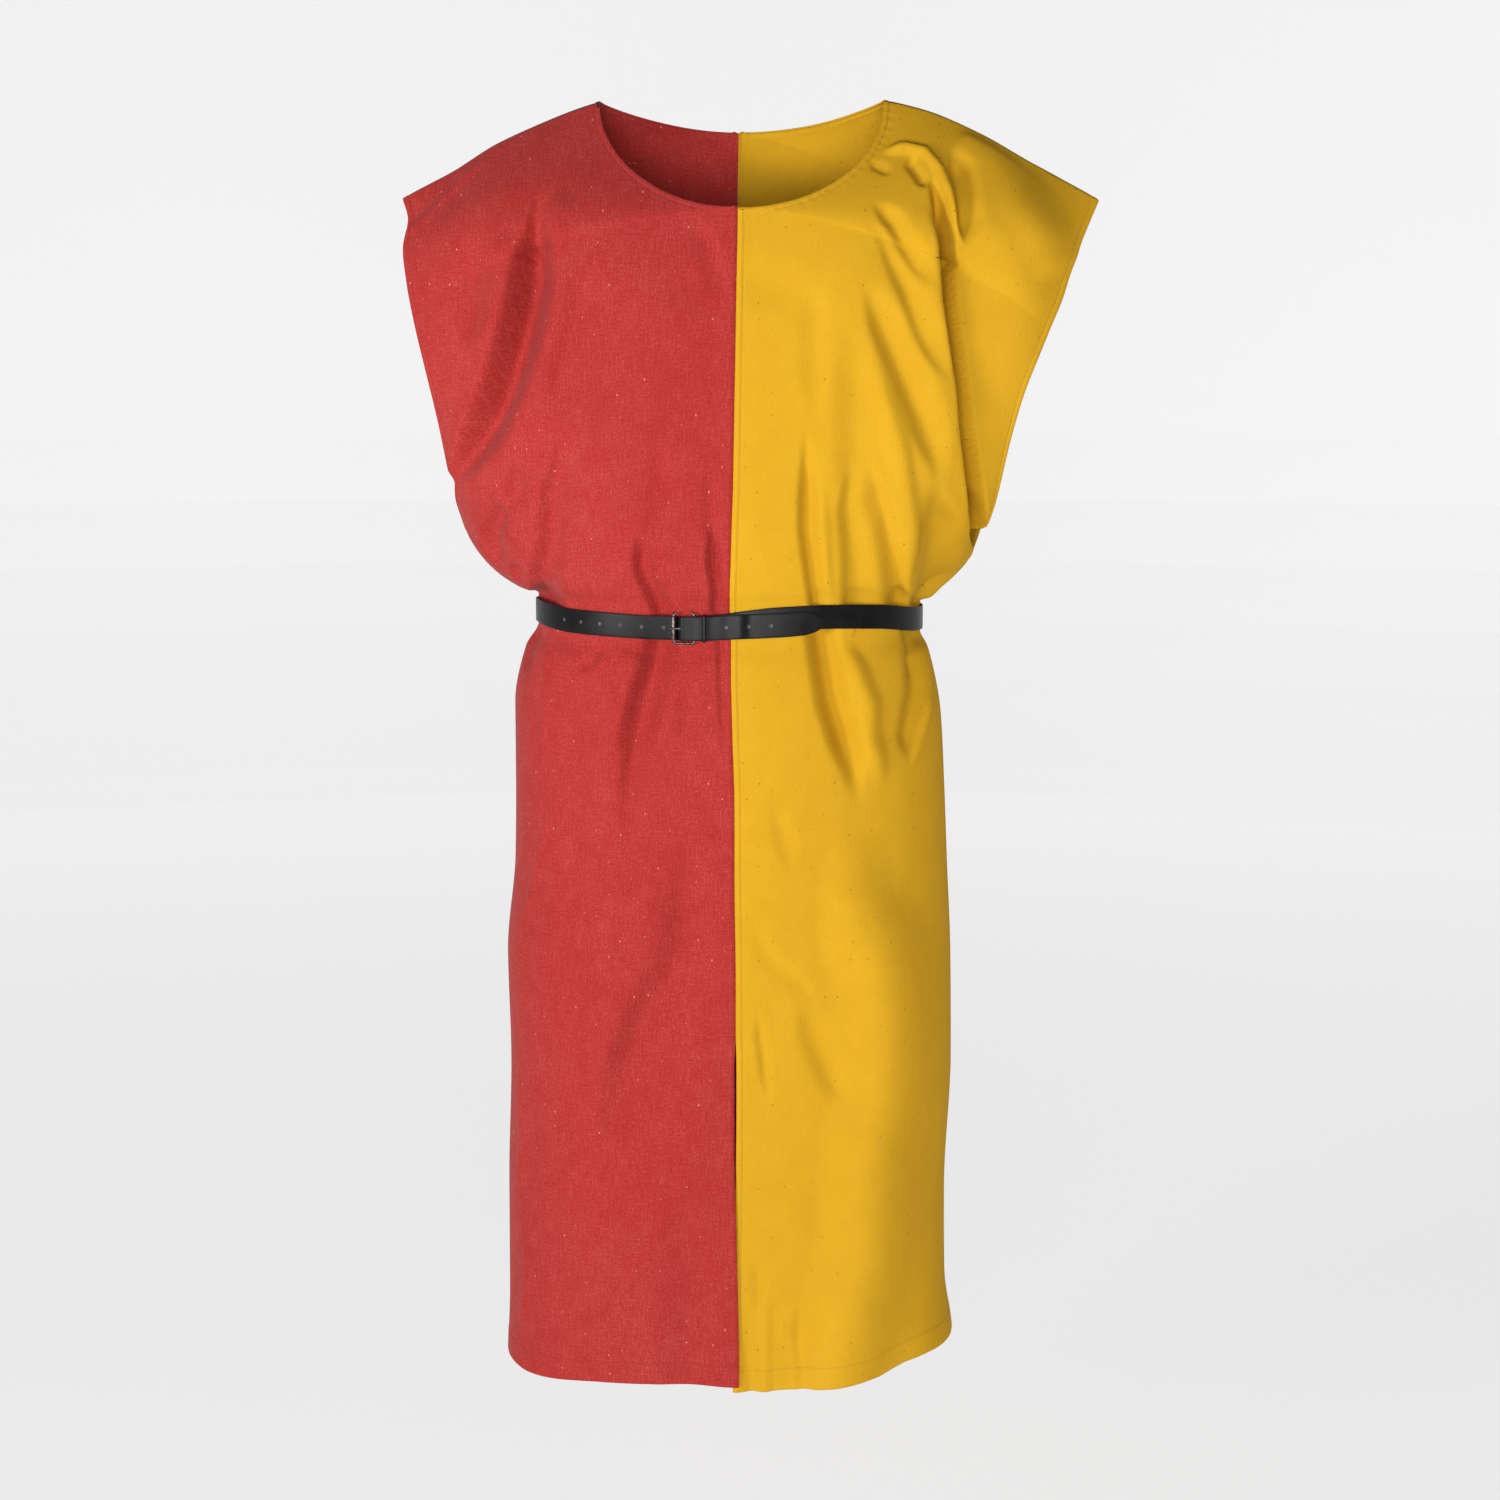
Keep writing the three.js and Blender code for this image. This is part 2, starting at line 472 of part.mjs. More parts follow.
// Belt: a strip of leather, square at its fixed end and rounded to a point at its tail, with
// one row of holes, a slot for the prong's eye, and a wider hole where the prong comes through.
function beltStrap() {
  const line = beltLine();
  const run = [0];
  line.slice(1).forEach((p, i) => run.push(run[i] + p.distanceTo(line[i])));
  const total = run.at(-1);
  const rings = line.map((p, i) => {
    const after = line[Math.min(i + 1, line.length - 1)];
    const before = line[Math.max(i - 1, 0)];
    const along = new THREE.Vector2(after.x - before.x, after.y - before.y).normalize();
    const outward = new THREE.Vector3(along.y, -along.x, 0).multiplyScalar(LEATHER / 2);
    const left = total - run[i];
    const half = left < 22 ? BELT_HALF * (0.12 + 0.88 * Math.sqrt(1 - (1 - left / 22) ** 2)) : BELT_HALF;
    const corner = (face, up) => p.clone().addScaledVector(outward, face)
      .add(new THREE.Vector3(0, 0, up * half));
    return [corner(1, -1), corner(1, 1), corner(-1, 1), corner(-1, -1)];
  });
  let strap = asManifold(loft(rings));
  const drill = (p, outward, radius, reach) => {
    const [from, to] = [outward.clone().multiplyScalar(-reach).add(p), outward.clone()
      .multiplyScalar(reach).add(p)];
    strap = strap.subtract(asManifold(rod([from, to], [radius, radius], 10)));
  };
  const crossing = line.findIndex((p, i) => (
    run[i] > total - 160 && p.x > atBuckle(PRONG_CROSSES_AT, 0, 0).x
  ));
  const firstHole = total - run[crossing];
  for (let k = -4; k <= 6; k += 1) {
    const at = total - firstHole - k * HOLE_STEP;
    const i = run.findIndex((length) => length >= at);
    const p = line[i - 1].clone().lerp(line[i], (at - run[i - 1]) / (run[i] - run[i - 1]));
    const along = line[i].clone().sub(line[i - 1]).normalize();
    const outward = new THREE.Vector3(along.y, -along.x, 0).normalize();
    if (k !== 0) drill(p, outward, HOLE_RADIUS, 1.0);
  }
  const pinAt = atBuckle(PRONG_CROSSES_AT, PIN_OUT - 0.4, 0);
  drill(pinAt, atBuckle(1, -0.065, 0).sub(atBuckle(0, 0, 0)), HOLE_RADIUS, 3.4);
  const slot = new THREE.BoxGeometry(13, 7.9, 5.4);
  slot.deleteAttribute("normal");
  slot.deleteAttribute("uv");
  slot.rotateZ(Math.atan2(buckleBasis.along.y, buckleBasis.along.x));
  slot.translate(...atBuckle(HEEL_AT, 4.2, 0).toArray());
  return asGeometry(strap.subtract(asManifold(slot)));
}

// Keeper: a flat leather loop round all layers of the belt, next to the buckle.
function beltKeeper() {
  const [inner, outer, half, thick, wide] = [1.3, 9.7, 11.0, 0.9, 3.8];
  const ring = (s) => {
    const at = (away, z) => {
      const plan = waist(s, away);
      return new THREE.Vector3(plan.x, plan.y, BUCKLE_Z + z);
    };
    return [
      [at(inner, -half), at(outer, -half), at(outer, half), at(inner, half)],
      [at(inner - thick, -half - thick), at(outer + thick, -half - thick),
        at(outer + thick, half + thick), at(inner - thick, half + thick)],
    ];
  };
  const [near, far] = [ring(KEEPER_AT - wide / 2), ring(KEEPER_AT + wide / 2)];
  const rings = [0, 1, 2, 3].map((i) => [near[0][i], near[1][i], far[1][i], far[0][i]]);
  return loft(rings, true);
}

// Buckle frame: one bent round bar, with rounded corners.
function buckleFrame() {
  const corner = 2.6;
  const points = [];
  const centres = [
    [HEEL_AT - corner, BUCKLE_HALF - corner, 0], [ROLLER_AT + corner, BUCKLE_HALF - corner, 90],
    [ROLLER_AT + corner, corner - BUCKLE_HALF, 180], [HEEL_AT - corner, corner - BUCKLE_HALF, 270],
  ];
  for (const [s, z, start] of centres) {
    for (let k = 0; k <= 3; k += 1) {
      const angle = THREE.MathUtils.degToRad(start + 30 * k);
      points.push(atBuckle(s + corner * Math.cos(angle), BUCKLE_OUT, z + corner * Math.sin(angle)));
    }
  }
  return rod(points, points.map(() => BAR_RADIUS), 10, true);
}

// Roller: a short tube that turns on the frame's outer bar.
function buckleRoller() {
  const [bore, half] = [BAR_RADIUS + 0.3, BUCKLE_HALF - 3.2];
  const sides = 14;
  const ring = Array.from({ length: sides }, (_, k) => {
    const angle = k * 2 * Math.PI / sides;
    const at = (radius, z) => atBuckle(ROLLER_AT + radius * Math.cos(angle),
      BUCKLE_OUT + radius * Math.sin(angle), z);
    return [at(bore, -half), at(ROLLER_RADIUS, -half), at(ROLLER_RADIUS, half), at(bore, half)];
  });
  return loft(ring, true);
}

// Prong: an eye round the heel bar, and a pin that comes up through the belt onto the roller.
function buckleProng() {
  const sides = 14;
  const [bore, rim, half] = [BAR_RADIUS + 0.3, BAR_RADIUS + 1.6, 1.9];
  const eye = Array.from({ length: sides }, (_, k) => {
    const angle = k * 2 * Math.PI / sides;
    const at = (radius, z) => atBuckle(HEEL_AT + radius * Math.cos(angle),
      BUCKLE_OUT + radius * Math.sin(angle), z);
    return [at(bore, -half), at(rim, -half), at(rim, half), at(bore, half)];
  });
  const pin = [
    atBuckle(HEEL_AT - 1.9, BUCKLE_OUT + 1.6, 0), atBuckle(HEEL_AT - 5, BUCKLE_OUT + 2.3, 0),
    atBuckle(PRONG_CROSSES_AT + 2, PIN_OUT - 0.5, 0), atBuckle(ROLLER_AT, PIN_OUT, 0),
    atBuckle(ROLLER_AT - 2.6, PIN_OUT - 0.5, 0), atBuckle(ROLLER_AT - 3.4, PIN_OUT - 1.0, 0),
  ];
  const thickness = [1, 1, 1, 1, 0.85, 0.4].map((part) => part * PIN_RADIUS);
  const body = rod(pin, thickness, 8);
  return asGeometry(asManifold(loft(eye, true)).add(asManifold(body)));
}

const tabard = new THREE.Group();
tabard.name = "tabard";
const belt = new THREE.Group();
belt.name = "belt";

function piece(parent, name, geometry, finish) {
  const mesh = new THREE.Mesh(geometry, new THREE.MeshStandardMaterial(finish));
  mesh.name = name;
  parent.add(mesh);
}

piece(tabard, "front_right", panel("right", "front"), RED);
piece(tabard, "front_left", panel("left", "front"), YELLOW);
piece(tabard, "back_right", panel("right", "back"), RED);
piece(tabard, "back_left", panel("left", "back"), YELLOW);
piece(belt, "belt_strap", beltStrap(), BLACK_LEATHER);
piece(belt, "belt_keeper", beltKeeper(), BLACK_LEATHER);
piece(belt, "buckle_frame", buckleFrame(), DARK_METAL);
piece(belt, "buckle_roller", buckleRoller(), DARK_METAL);
piece(belt, "buckle_prong", buckleProng(), DARK_METAL);
tabard.add(belt);

export default tabard;
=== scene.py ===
import math
import bpy
import numpy as np
from mathutils import Matrix, Vector


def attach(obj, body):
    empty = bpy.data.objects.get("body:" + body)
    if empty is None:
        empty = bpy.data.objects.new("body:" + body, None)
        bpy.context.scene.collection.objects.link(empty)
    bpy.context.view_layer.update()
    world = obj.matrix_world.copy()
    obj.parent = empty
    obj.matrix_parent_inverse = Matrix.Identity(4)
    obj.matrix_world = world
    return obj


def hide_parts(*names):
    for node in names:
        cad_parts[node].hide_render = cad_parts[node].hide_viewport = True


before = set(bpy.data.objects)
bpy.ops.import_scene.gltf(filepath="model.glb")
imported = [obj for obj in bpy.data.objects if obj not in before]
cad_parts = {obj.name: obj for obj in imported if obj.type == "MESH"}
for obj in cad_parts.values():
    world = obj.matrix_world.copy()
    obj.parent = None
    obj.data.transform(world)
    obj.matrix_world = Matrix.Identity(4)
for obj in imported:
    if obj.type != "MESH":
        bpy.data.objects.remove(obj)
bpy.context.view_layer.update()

# Camera: a long lens a little below shoulder height, pitched slightly down, so that the back of
# the neck opening shows over the front and the hem reads as a shallow curve.
camera_data = bpy.data.cameras.new("camera")
camera_data.lens = 69.34
camera_data.sensor_width = 36.0
camera = bpy.data.objects.new("camera", camera_data)
camera.location = (0.0135, -2.6, -0.209)
camera.rotation_euler = (math.radians(82.1), 0.0, 0.0)
bpy.context.scene.collection.objects.link(camera)
bpy.context.scene.camera = camera

# Right front panel: red cotton with a visible weave and pale slubs, cut in one piece from the
# shoulder to the hem. Neck, armhole, slit and hem are turned in once and machine stitched.
SECTION_V = [0.0, 0.022, 0.05, 0.08, 0.11, 0.16, 0.21, 0.25, 0.29, 0.31, 0.335, 0.355, 0.37,
             0.39, 0.41, 0.455, 0.52, 0.58, 0.66, 0.75, 0.86, 0.945, 1.0]
NECK_V, ARMHOLE_V, WAIST_V = 0.11, 0.29, 0.38
NECK_TOP, SLIT_TOP = 9.0, -804.0
NECK_LOW = {"front": (-97.0, -89.0), "back": (66.0, -15.0)}
WALL, SEAM = 1.2, 0.01
NECK_HEM, ARM_HEM, TOPSTITCH, LOW_HEM = 5.2, 5.8, 5.4, 20.0
BELT_MIDDLE, UNDER_BELT, FOLD_STRENGTH = -444, -445, 1.2


def curve(xs, ys):
    """Monotone cubic through the values, so that it never swings past them."""
    xs, ys = np.array(xs, float), np.array(ys, float)
    slope = np.diff(ys) / np.diff(xs)
    before, after = slope[:-1], slope[1:]
    same = before * after > 0
    total = np.where(same, before + after, 1.0)
    inner = np.where(same, 2 * before * after / total, 0.0)
    tangent = np.concatenate([slope[:1], inner, slope[-1:]])

    def at(x):
        x = np.clip(np.asarray(x, float), xs[0], xs[-1])
        i = np.clip(np.searchsorted(xs, x, side="left") - 1, 0, len(xs) - 2)
        h = xs[i + 1] - xs[i]
        t = (x - xs[i]) / h
        return ((2 * t**3 - 3 * t**2 + 1) * ys[i] + (t**3 - 2 * t**2 + t) * h * tangent[i]
                + (3 * t**2 - 2 * t**3) * ys[i + 1] + (t**3 - t**2) * h * tangent[i + 1])
    return at


def ramp(t):
    """A soft step from 0 to 1."""
    t = np.clip(t, 0.0, 1.0)
    return t * t * (3 - 2 * t)


def columns(names, rows, v=SECTION_V):
    """A table of sizes down the panel, read as one smooth curve for each column."""
    return {name: curve(v, column) for name, column in zip(names, zip(*rows))}


# Depth and height of the front from the shoulder to the hem: inner edge y and z, outer edge y,
# extra swell at mid row, how far the row turns, and how square it is (2 is an ellipse).
front = columns(["z_in", "y_in", "y_out", "swell", "turn", "full"], [
    (9, 0, 0, 0, 40, 2.0), (0, 0, -12, 8, 46, 2.0), (0, 0, -27, 12, 54, 2.0),
    (0, 0, -38, 12, 62, 2.0), (-89, -97, -46, 12, 68, 2.0), (-150, -113, -54, 15, 72, 2.0),
    (-213, -123, -53, 14, 76, 2.1), (-268, -128, -40, 10, 83, 2.2), (-325, -131, 0, 4, 90, 2.3),
    (-353, -131, 0, 2, 90, 2.3), (-388, -128, 0, 0, 90, 2.3), (-416, -120.5, 0, 0, 90, 2.3),
    (-431, -115, 0, 0, 90, 2.3), (-460, -115, 0, 0, 90, 2.3), (-482, -119, 0, 0, 90, 2.3),
    (-533, -124, 0, 0, 90, 2.2), (-604, -126, 0, 0, 90, 2.2), (-668, -127, 0, 0, 90, 2.2),
    (-756, -128, 0, 0, 90, 2.25), (-853, -129, 0, 0, 90, 2.35), (-973, -130, 0, 0, 90, 2.45),
    (-1066, -131, 0, 0, 90, 2.6), (-1127, -132, 0, 0, 90, 2.7),
])
# Outer edge x and z, how far the centre seam strays, how late a row drops, and its lift.
right = columns(["x_out", "z_out", "x_in", "fall", "lift"], [
    (294, -77, 0, 1.06, 0), (288, -97, 0, 1.15, 0), (291, -121, 0, 1.25, 0),
    (287, -152, 0, 1.4, 0), (281, -182, -3, 1.4, 0), (269, -232, -2, 1.4, 0),
    (258, -281, -1, 1.4, 0), (250, -328, 0, 1.4, 0), (241, -371, 1, 1.4, 0),
    (232, -388, 2, 1.5, 0), (215, -407, 3, 1.7, 0), (195, -420, 4, 2.0, 0),
    (177, -426.5, 4, 2.0, 0), (177, -451.5, 3, 2.0, 0), (189, -474, 3, 1.8, 0),
    (199, -524, 2, 1.5, 0), (199, -593, 0, 1.5, 0), (200, -662, 0, 1.5, 0),
    (208, -752, -1, 1.5, 0), (206, -849, -1, 1.5, 0), (209, -968, -1, 1.5, 0),
    (209, -1064, 0, 1.5, 0), (211, -1125, 1, 1.5, 0),
])
right.update(out=-1, corner=119.0,
             shoulder=curve([115, 150, 208, 252, 290], [-2.2, 0.6, 2.2, -2.0, 0]))


def inner_edge(side, face, depth, v):
    """Neckline down to the centre front or back, then the centre seam."""
    angle = np.clip(v / NECK_V, 0, 1) * math.pi / 2
    c, s = np.cos(angle), np.sin(angle)
    low_y, low_z = NECK_LOW[face]
    drop = s if face == "front" else s * s
    x = np.where(v < NECK_V, side["corner"] * c + side["x_in"](NECK_V) * s, side["x_in"](v))
    y = np.where(v < NECK_V, low_y * s, depth["y_in"](v))
    z = np.where(v < NECK_V, NECK_TOP + (low_z - NECK_TOP) * drop, depth["z_in"](v))
    return x * side["out"], y, z


def plain_rows(side, face, depth, v, spread):
    """Rows of the panel before its folds, with the run of cloth from the inner edge."""
    v = v[:, None]
    s = np.linspace(0, 1, 301)[None, :]
    ex, ey, ez = inner_edge(side, face, depth, v)
    turn = np.radians(depth["turn"](v))
    power = 2 / depth["full"](v)
    across = (np.sin(turn * s) / np.sin(turn)) ** power
    depth_part = np.clip((np.cos(turn * s) - np.cos(turn)) / (1 - np.cos(turn)), 0, None) ** power
    ahead = -1 if face == "front" else 1
    bulge = ahead * depth["swell"](v) * np.sin(np.pi * s) ** 1.6
    x = ex + (side["out"] * side["x_out"](v) - ex) * across
    y = depth["y_out"](v) + (ey - depth["y_out"](v)) * depth_part + bulge
    z = ez + (side["z_out"](v) - ez) * s ** side["fall"](v) + side["lift"](v) * np.sin(np.pi * s)
    z = z + side["shoulder"](x * side["out"]) * (1 - ramp(v / 0.09))
    fine = np.stack([x, y, z], axis=2)
    step = np.linalg.norm(np.diff(fine, axis=1), axis=2)
    run = np.concatenate([np.zeros((len(v), 1)), np.cumsum(step, axis=1)], axis=1)
    rows, place = [], []
    for points, length in zip(fine, run):
        at = spread(length[-1])
        rows.append(np.stack([np.interp(at, length, points[:, k]) for k in range(3)], axis=1))
        place.append(np.stack([at, length[-1] - at], axis=1))
    return np.array(rows), np.array(place)


def close_edges(middle):
    """Columns close together at both edges, where the cloth is turned in and stitched."""
    near = np.array([0, 0.7, 1.5, 2.5, 3.6, 4.6, 5.4, 6.2, 7.0, 8.2, 10.0])

    def spread(length):
        between = np.linspace(near[-1], length - near[-1], middle + 2)[1:-1]
        return np.concatenate([near, between, length - near[::-1]])
    return spread


def row_steps(stretches):
    """Heights of the mesh rows, from stretches with a number of rows each."""
    v = [np.array([0.0])]
    for start, end, count in stretches:
        v.append(np.linspace(start, end, count + 1)[1:])
    return np.concatenate(v)


def normals_of(grid, turn_out):
    """Outward directions of a grid of points."""
    along = np.empty_like(grid)
    along[:, 1:-1] = grid[:, 2:] - grid[:, :-2]
    along[:, 0] = grid[:, 1] - grid[:, 0]
    along[:, -1] = grid[:, -1] - grid[:, -2]
    down = np.empty_like(grid)
    down[1:-1] = grid[2:] - grid[:-2]
    down[0] = grid[1] - grid[0]
    down[-1] = grid[-1] - grid[-2]
    normal = np.cross(along, down) * turn_out
    return normal / np.maximum(np.linalg.norm(normal, axis=2, keepdims=True), 1e-9)


def run_along(line):
    """Distance from the start of a line of points to each of them."""
    return np.concatenate([[0], np.cumsum(np.linalg.norm(np.diff(line, axis=0), axis=1))])


def fold_depth(folds, x, z):
    """Troughs and ridges along lines given as seen from the front. Each has a width to its left
    and right, a depth, the parts of its length over which it fades in and out, and its line."""
    total = np.zeros_like(x)
    for left, to_right, deep, fade_in, fade_out, line in folds:
        line = np.array(line, float).reshape(-1, 2)
        lengths = run_along(line)
        away = np.full(x.shape, 1e9)
        along, sign = np.zeros_like(x), np.zeros_like(x)
        for k, ((ax, az), (bx, bz)) in enumerate(zip(line[:-1], line[1:])):
            span = (bx - ax) ** 2 + (bz - az) ** 2
            t = np.clip(((x - ax) * (bx - ax) + (z - az) * (bz - az)) / span, 0, 1)
            d = np.hypot(x - ax - t * (bx - ax), z - az - t * (bz - az))
            nearer = d < away
            away = np.where(nearer, d, away)
            along = np.where(nearer, (lengths[k] + t * math.sqrt(span)) / lengths[-1], along)
            side = (bx - ax) * (z - az) - (bz - az) * (x - ax)
            sign = np.where(nearer, side, sign)
        start = ramp(along / fade_in) if fade_in else 1.0
        end = ramp((1 - along) / fade_out) if fade_out else 1.0
        width = np.where(sign < 0, left, to_right) * (0.45 + 0.55 * start * end)
        shape = (1 + np.cos(np.pi * np.minimum(away / width, 1))) / 2
        total += deep * shape * start * end
    return total


def turned_edge(d, width, rise, groove, roll):
    """Cross profile of a turned and stitched edge at distance d from it."""
    raised = rise * (1 - ramp((d - width + 0.8) / 1.4))
    pressed = groove * np.exp(-(((d - width) / 0.8) ** 2))
    return raised - pressed - roll * np.exp(-((d / 0.8) ** 2))


def unevenness(x, z, seed):
    """The slow waviness that worn cotton keeps between its folds."""
    a = np.sin(x / 23.0 + 1.9 * np.sin(z / 147.0 + seed) + seed)
    b = np.sin(x / 11.5 - z / 190.0 + 2.3 * seed)
    c = np.sin(z / 61.0 + x / 83.0 + 3.1 * seed)
    return 0.40 * a + 0.16 * b + 0.25 * c


def cloth_panel(name, side, face, depth, folds, rows, middle, seed, edges, hang=None):
    """One cut piece as a closed thin shell: the plain form, then folds, turned and stitched
    edges and the way its lower end hangs. Also gives each point's distance from the edges."""
    v = row_steps(rows)
    out, ahead = side["out"], (-1 if face == "front" else 1)
    plain, place = plain_rows(side, face, depth, v, close_edges(middle))
    x, z = plain[..., 0], plain[..., 2]
    d_in, d_out = place[..., 0], place[..., 1]
    seam_row = (v >= NECK_V)[:, None]
    side_row = (v >= ARMHOLE_V)[:, None]
    steps = np.linalg.norm(np.diff(plain, axis=0), axis=2)
    d_top = np.concatenate([np.zeros((1, steps.shape[1])), np.cumsum(steps, axis=0)])
    d_hem = d_top[-1] - d_top

    neck_v = np.linspace(0, NECK_V, 500)
    neck = np.stack(inner_edge(side, face, depth, neck_v), axis=1)
    d_neck, neck_run = np.full(x.shape, 1e3), np.zeros(x.shape)
    for j in np.nonzero(v < 0.2)[0]:
        d = np.linalg.norm(plain[j][:, None, :] - neck[None, :, :], axis=2)
        d_neck[j], neck_run[j] = d.min(axis=1), d.argmin(axis=1) * 0.38

    fade = np.where(seam_row, ramp(d_in / 22), 1.0) * np.where(side_row, ramp(d_out / 22), 1.0)
    fade = fade * ramp(d_top / 25)
    off_belt = 1 - ramp((26 - np.abs(z - BELT_MIDDLE)) / 14)
    height = (FOLD_STRENGTH * fold_depth(folds, x, z) + unevenness(x, z, seed) * off_belt) * fade
    pucker = np.sin(neck_run / 1.35 + 1.3 * np.sin(neck_run / 9.0) + seed)
    height += turned_edge(d_neck, NECK_HEM, 0.5, 0.45, 0.5)
    height += edges["pucker"] * pucker * np.exp(-(((d_neck - 6) / 4.5) ** 2))
    arm = turned_edge(d_out, ARM_HEM, 0.5, 0.4, 0.4)
    height += np.where(side_row, -0.5 * np.exp(-((d_out / 0.9) ** 2)), arm)
    height += turned_edge(d_hem, LOW_HEM, 0.35, 0.4, 0.3)
    below = np.clip(ramp((edges["stitch_from"] - z) / 20), 0, 1)
    stitched = turned_edge(d_in, TOPSTITCH, edges["rise"], 0.45, 0.0) * below
    height += np.where(seam_row, stitched - 1.5 * np.exp(-((d_in / 1.7) ** 2)), 0)
    height += -0.4 * np.exp(-((d_top / 1.5) ** 2))

    outer = plain + normals_of(plain, out * ahead) * height[..., None]
    if hang:
        outer = hang(outer, d_in, v)
    normal = normals_of(outer, out * ahead)
    normal[0, :, 1] = 0
    normal[v >= NECK_V, 0, 0] = 0
    normal[v >= ARMHOLE_V, -1, 1] = 0
    normal /= np.linalg.norm(normal, axis=2, keepdims=True)
    inner = outer - normal * WALL
    for wall in (outer, inner):
        wall[0, :, 1] = ahead * SEAM
        closed = (v >= NECK_V) & ((wall[:, 0, 2] > SLIT_TOP) | (face == "back"))
        wall[closed, 0, 0] = outer[closed, 0, 0]
        wall[closed, 0, 0] += out * SEAM if wall is outer else 0
        wall[v >= ARMHOLE_V, -1, 1] = ahead * SEAM

    r, c = x.shape
    count = r * c
    low = np.arange(count).reshape(r, c)
    quads = np.stack([low[:-1, :-1], low[:-1, 1:], low[1:, 1:], low[1:, :-1]], axis=2)
    quads = quads.reshape(-1, 4)
    ring = np.concatenate([low[0, :-1], low[:-1, -1], low[-1, :0:-1], low[:0:-1, 0]])
    nxt = np.roll(ring, -1)
    rim = np.stack([nxt, ring, ring + count, nxt + count], axis=1)
    faces = np.concatenate([quads, quads[:, ::-1] + count, rim])
    if out * ahead < 0:
        faces = faces[:, ::-1]
    points = np.concatenate([outer.reshape(-1, 3), inner.reshape(-1, 3)]) * 0.001
    mesh = bpy.data.meshes.new(name)
    mesh.from_pydata(points.tolist(), [], faces.tolist())
    across = np.abs(plain[:, :1, 0]) + d_in
    uv = np.stack([across, 2.0 - plain[..., 2] * 1.02], axis=2).reshape(-1, 2) * 0.001
    uv = np.concatenate([uv, uv])
    layer = mesh.uv_layers.new(name="cloth")
    corners = np.zeros(len(mesh.loops), dtype=np.int64)
    mesh.loops.foreach_get("vertex_index", corners)
    layer.data.foreach_set("uv", uv[corners].ravel())
    mesh.shade_smooth()
    mesh.validate()
    piece = bpy.data.objects.new(name, mesh)
    bpy.context.scene.collection.objects.link(piece)
    return piece, {"outer": outer, "normal": normal, "v": v, "d_in": d_in, "d_out": d_out,
                   "d_hem": d_hem, "d_neck": d_neck, "neck_run": neck_run}


class Finish:
    """A material being mixed. Each input is a value or the output that feeds it."""

    def __init__(self, name):
        self.material = bpy.data.materials.new(name)
        self.material.use_nodes = True
        self.tree = self.material.node_tree

    def fill(self, node, inputs):
        """Links or sets the inputs of a node."""
        for socket, value in inputs.items():
            if isinstance(value, bpy.types.NodeSocket):
                self.tree.links.new(value, node.inputs[socket])
            else:
                node.inputs[socket].default_value = value

    def add(self, kind, inputs, output=0, **settings):
        """Adds a node and gives one of its outputs."""
        node = self.tree.nodes.new("ShaderNode" + kind)
        for setting, value in settings.items():
            setattr(node, setting, value)
        self.fill(node, inputs)
        return node.outputs[output]

    def math(self, operation, *terms):
        """The same for a sum, with its terms in order."""
        return self.add("Math", dict(enumerate(terms)), operation=operation)

    def shades(self, factor, *stops, interpolation="LINEAR"):
        """Colours that change with a factor, from (position, colour) stops."""
        node = self.tree.nodes.new("ShaderNodeValToRGB")
        node.color_ramp.interpolation = interpolation
        for k in (0, -1):
            node.color_ramp.elements[k].position = stops[k][0]
            node.color_ramp.elements[k].color = (*stops[k][1], 1)
        for at, colour in stops[1:-1]:
            node.color_ramp.elements.new(at).color = (*colour, 1)
        self.fill(node, {"Fac": factor})
        return node.outputs["Color"]

    def shader(self, **inputs):
        """Sets the shader's own inputs, named with _ for a space, and ends the mix."""
        named = {name.replace("_", " "): value for name, value in inputs.items()}
        self.fill(self.tree.nodes["Principled BSDF"], named)
        return self.material


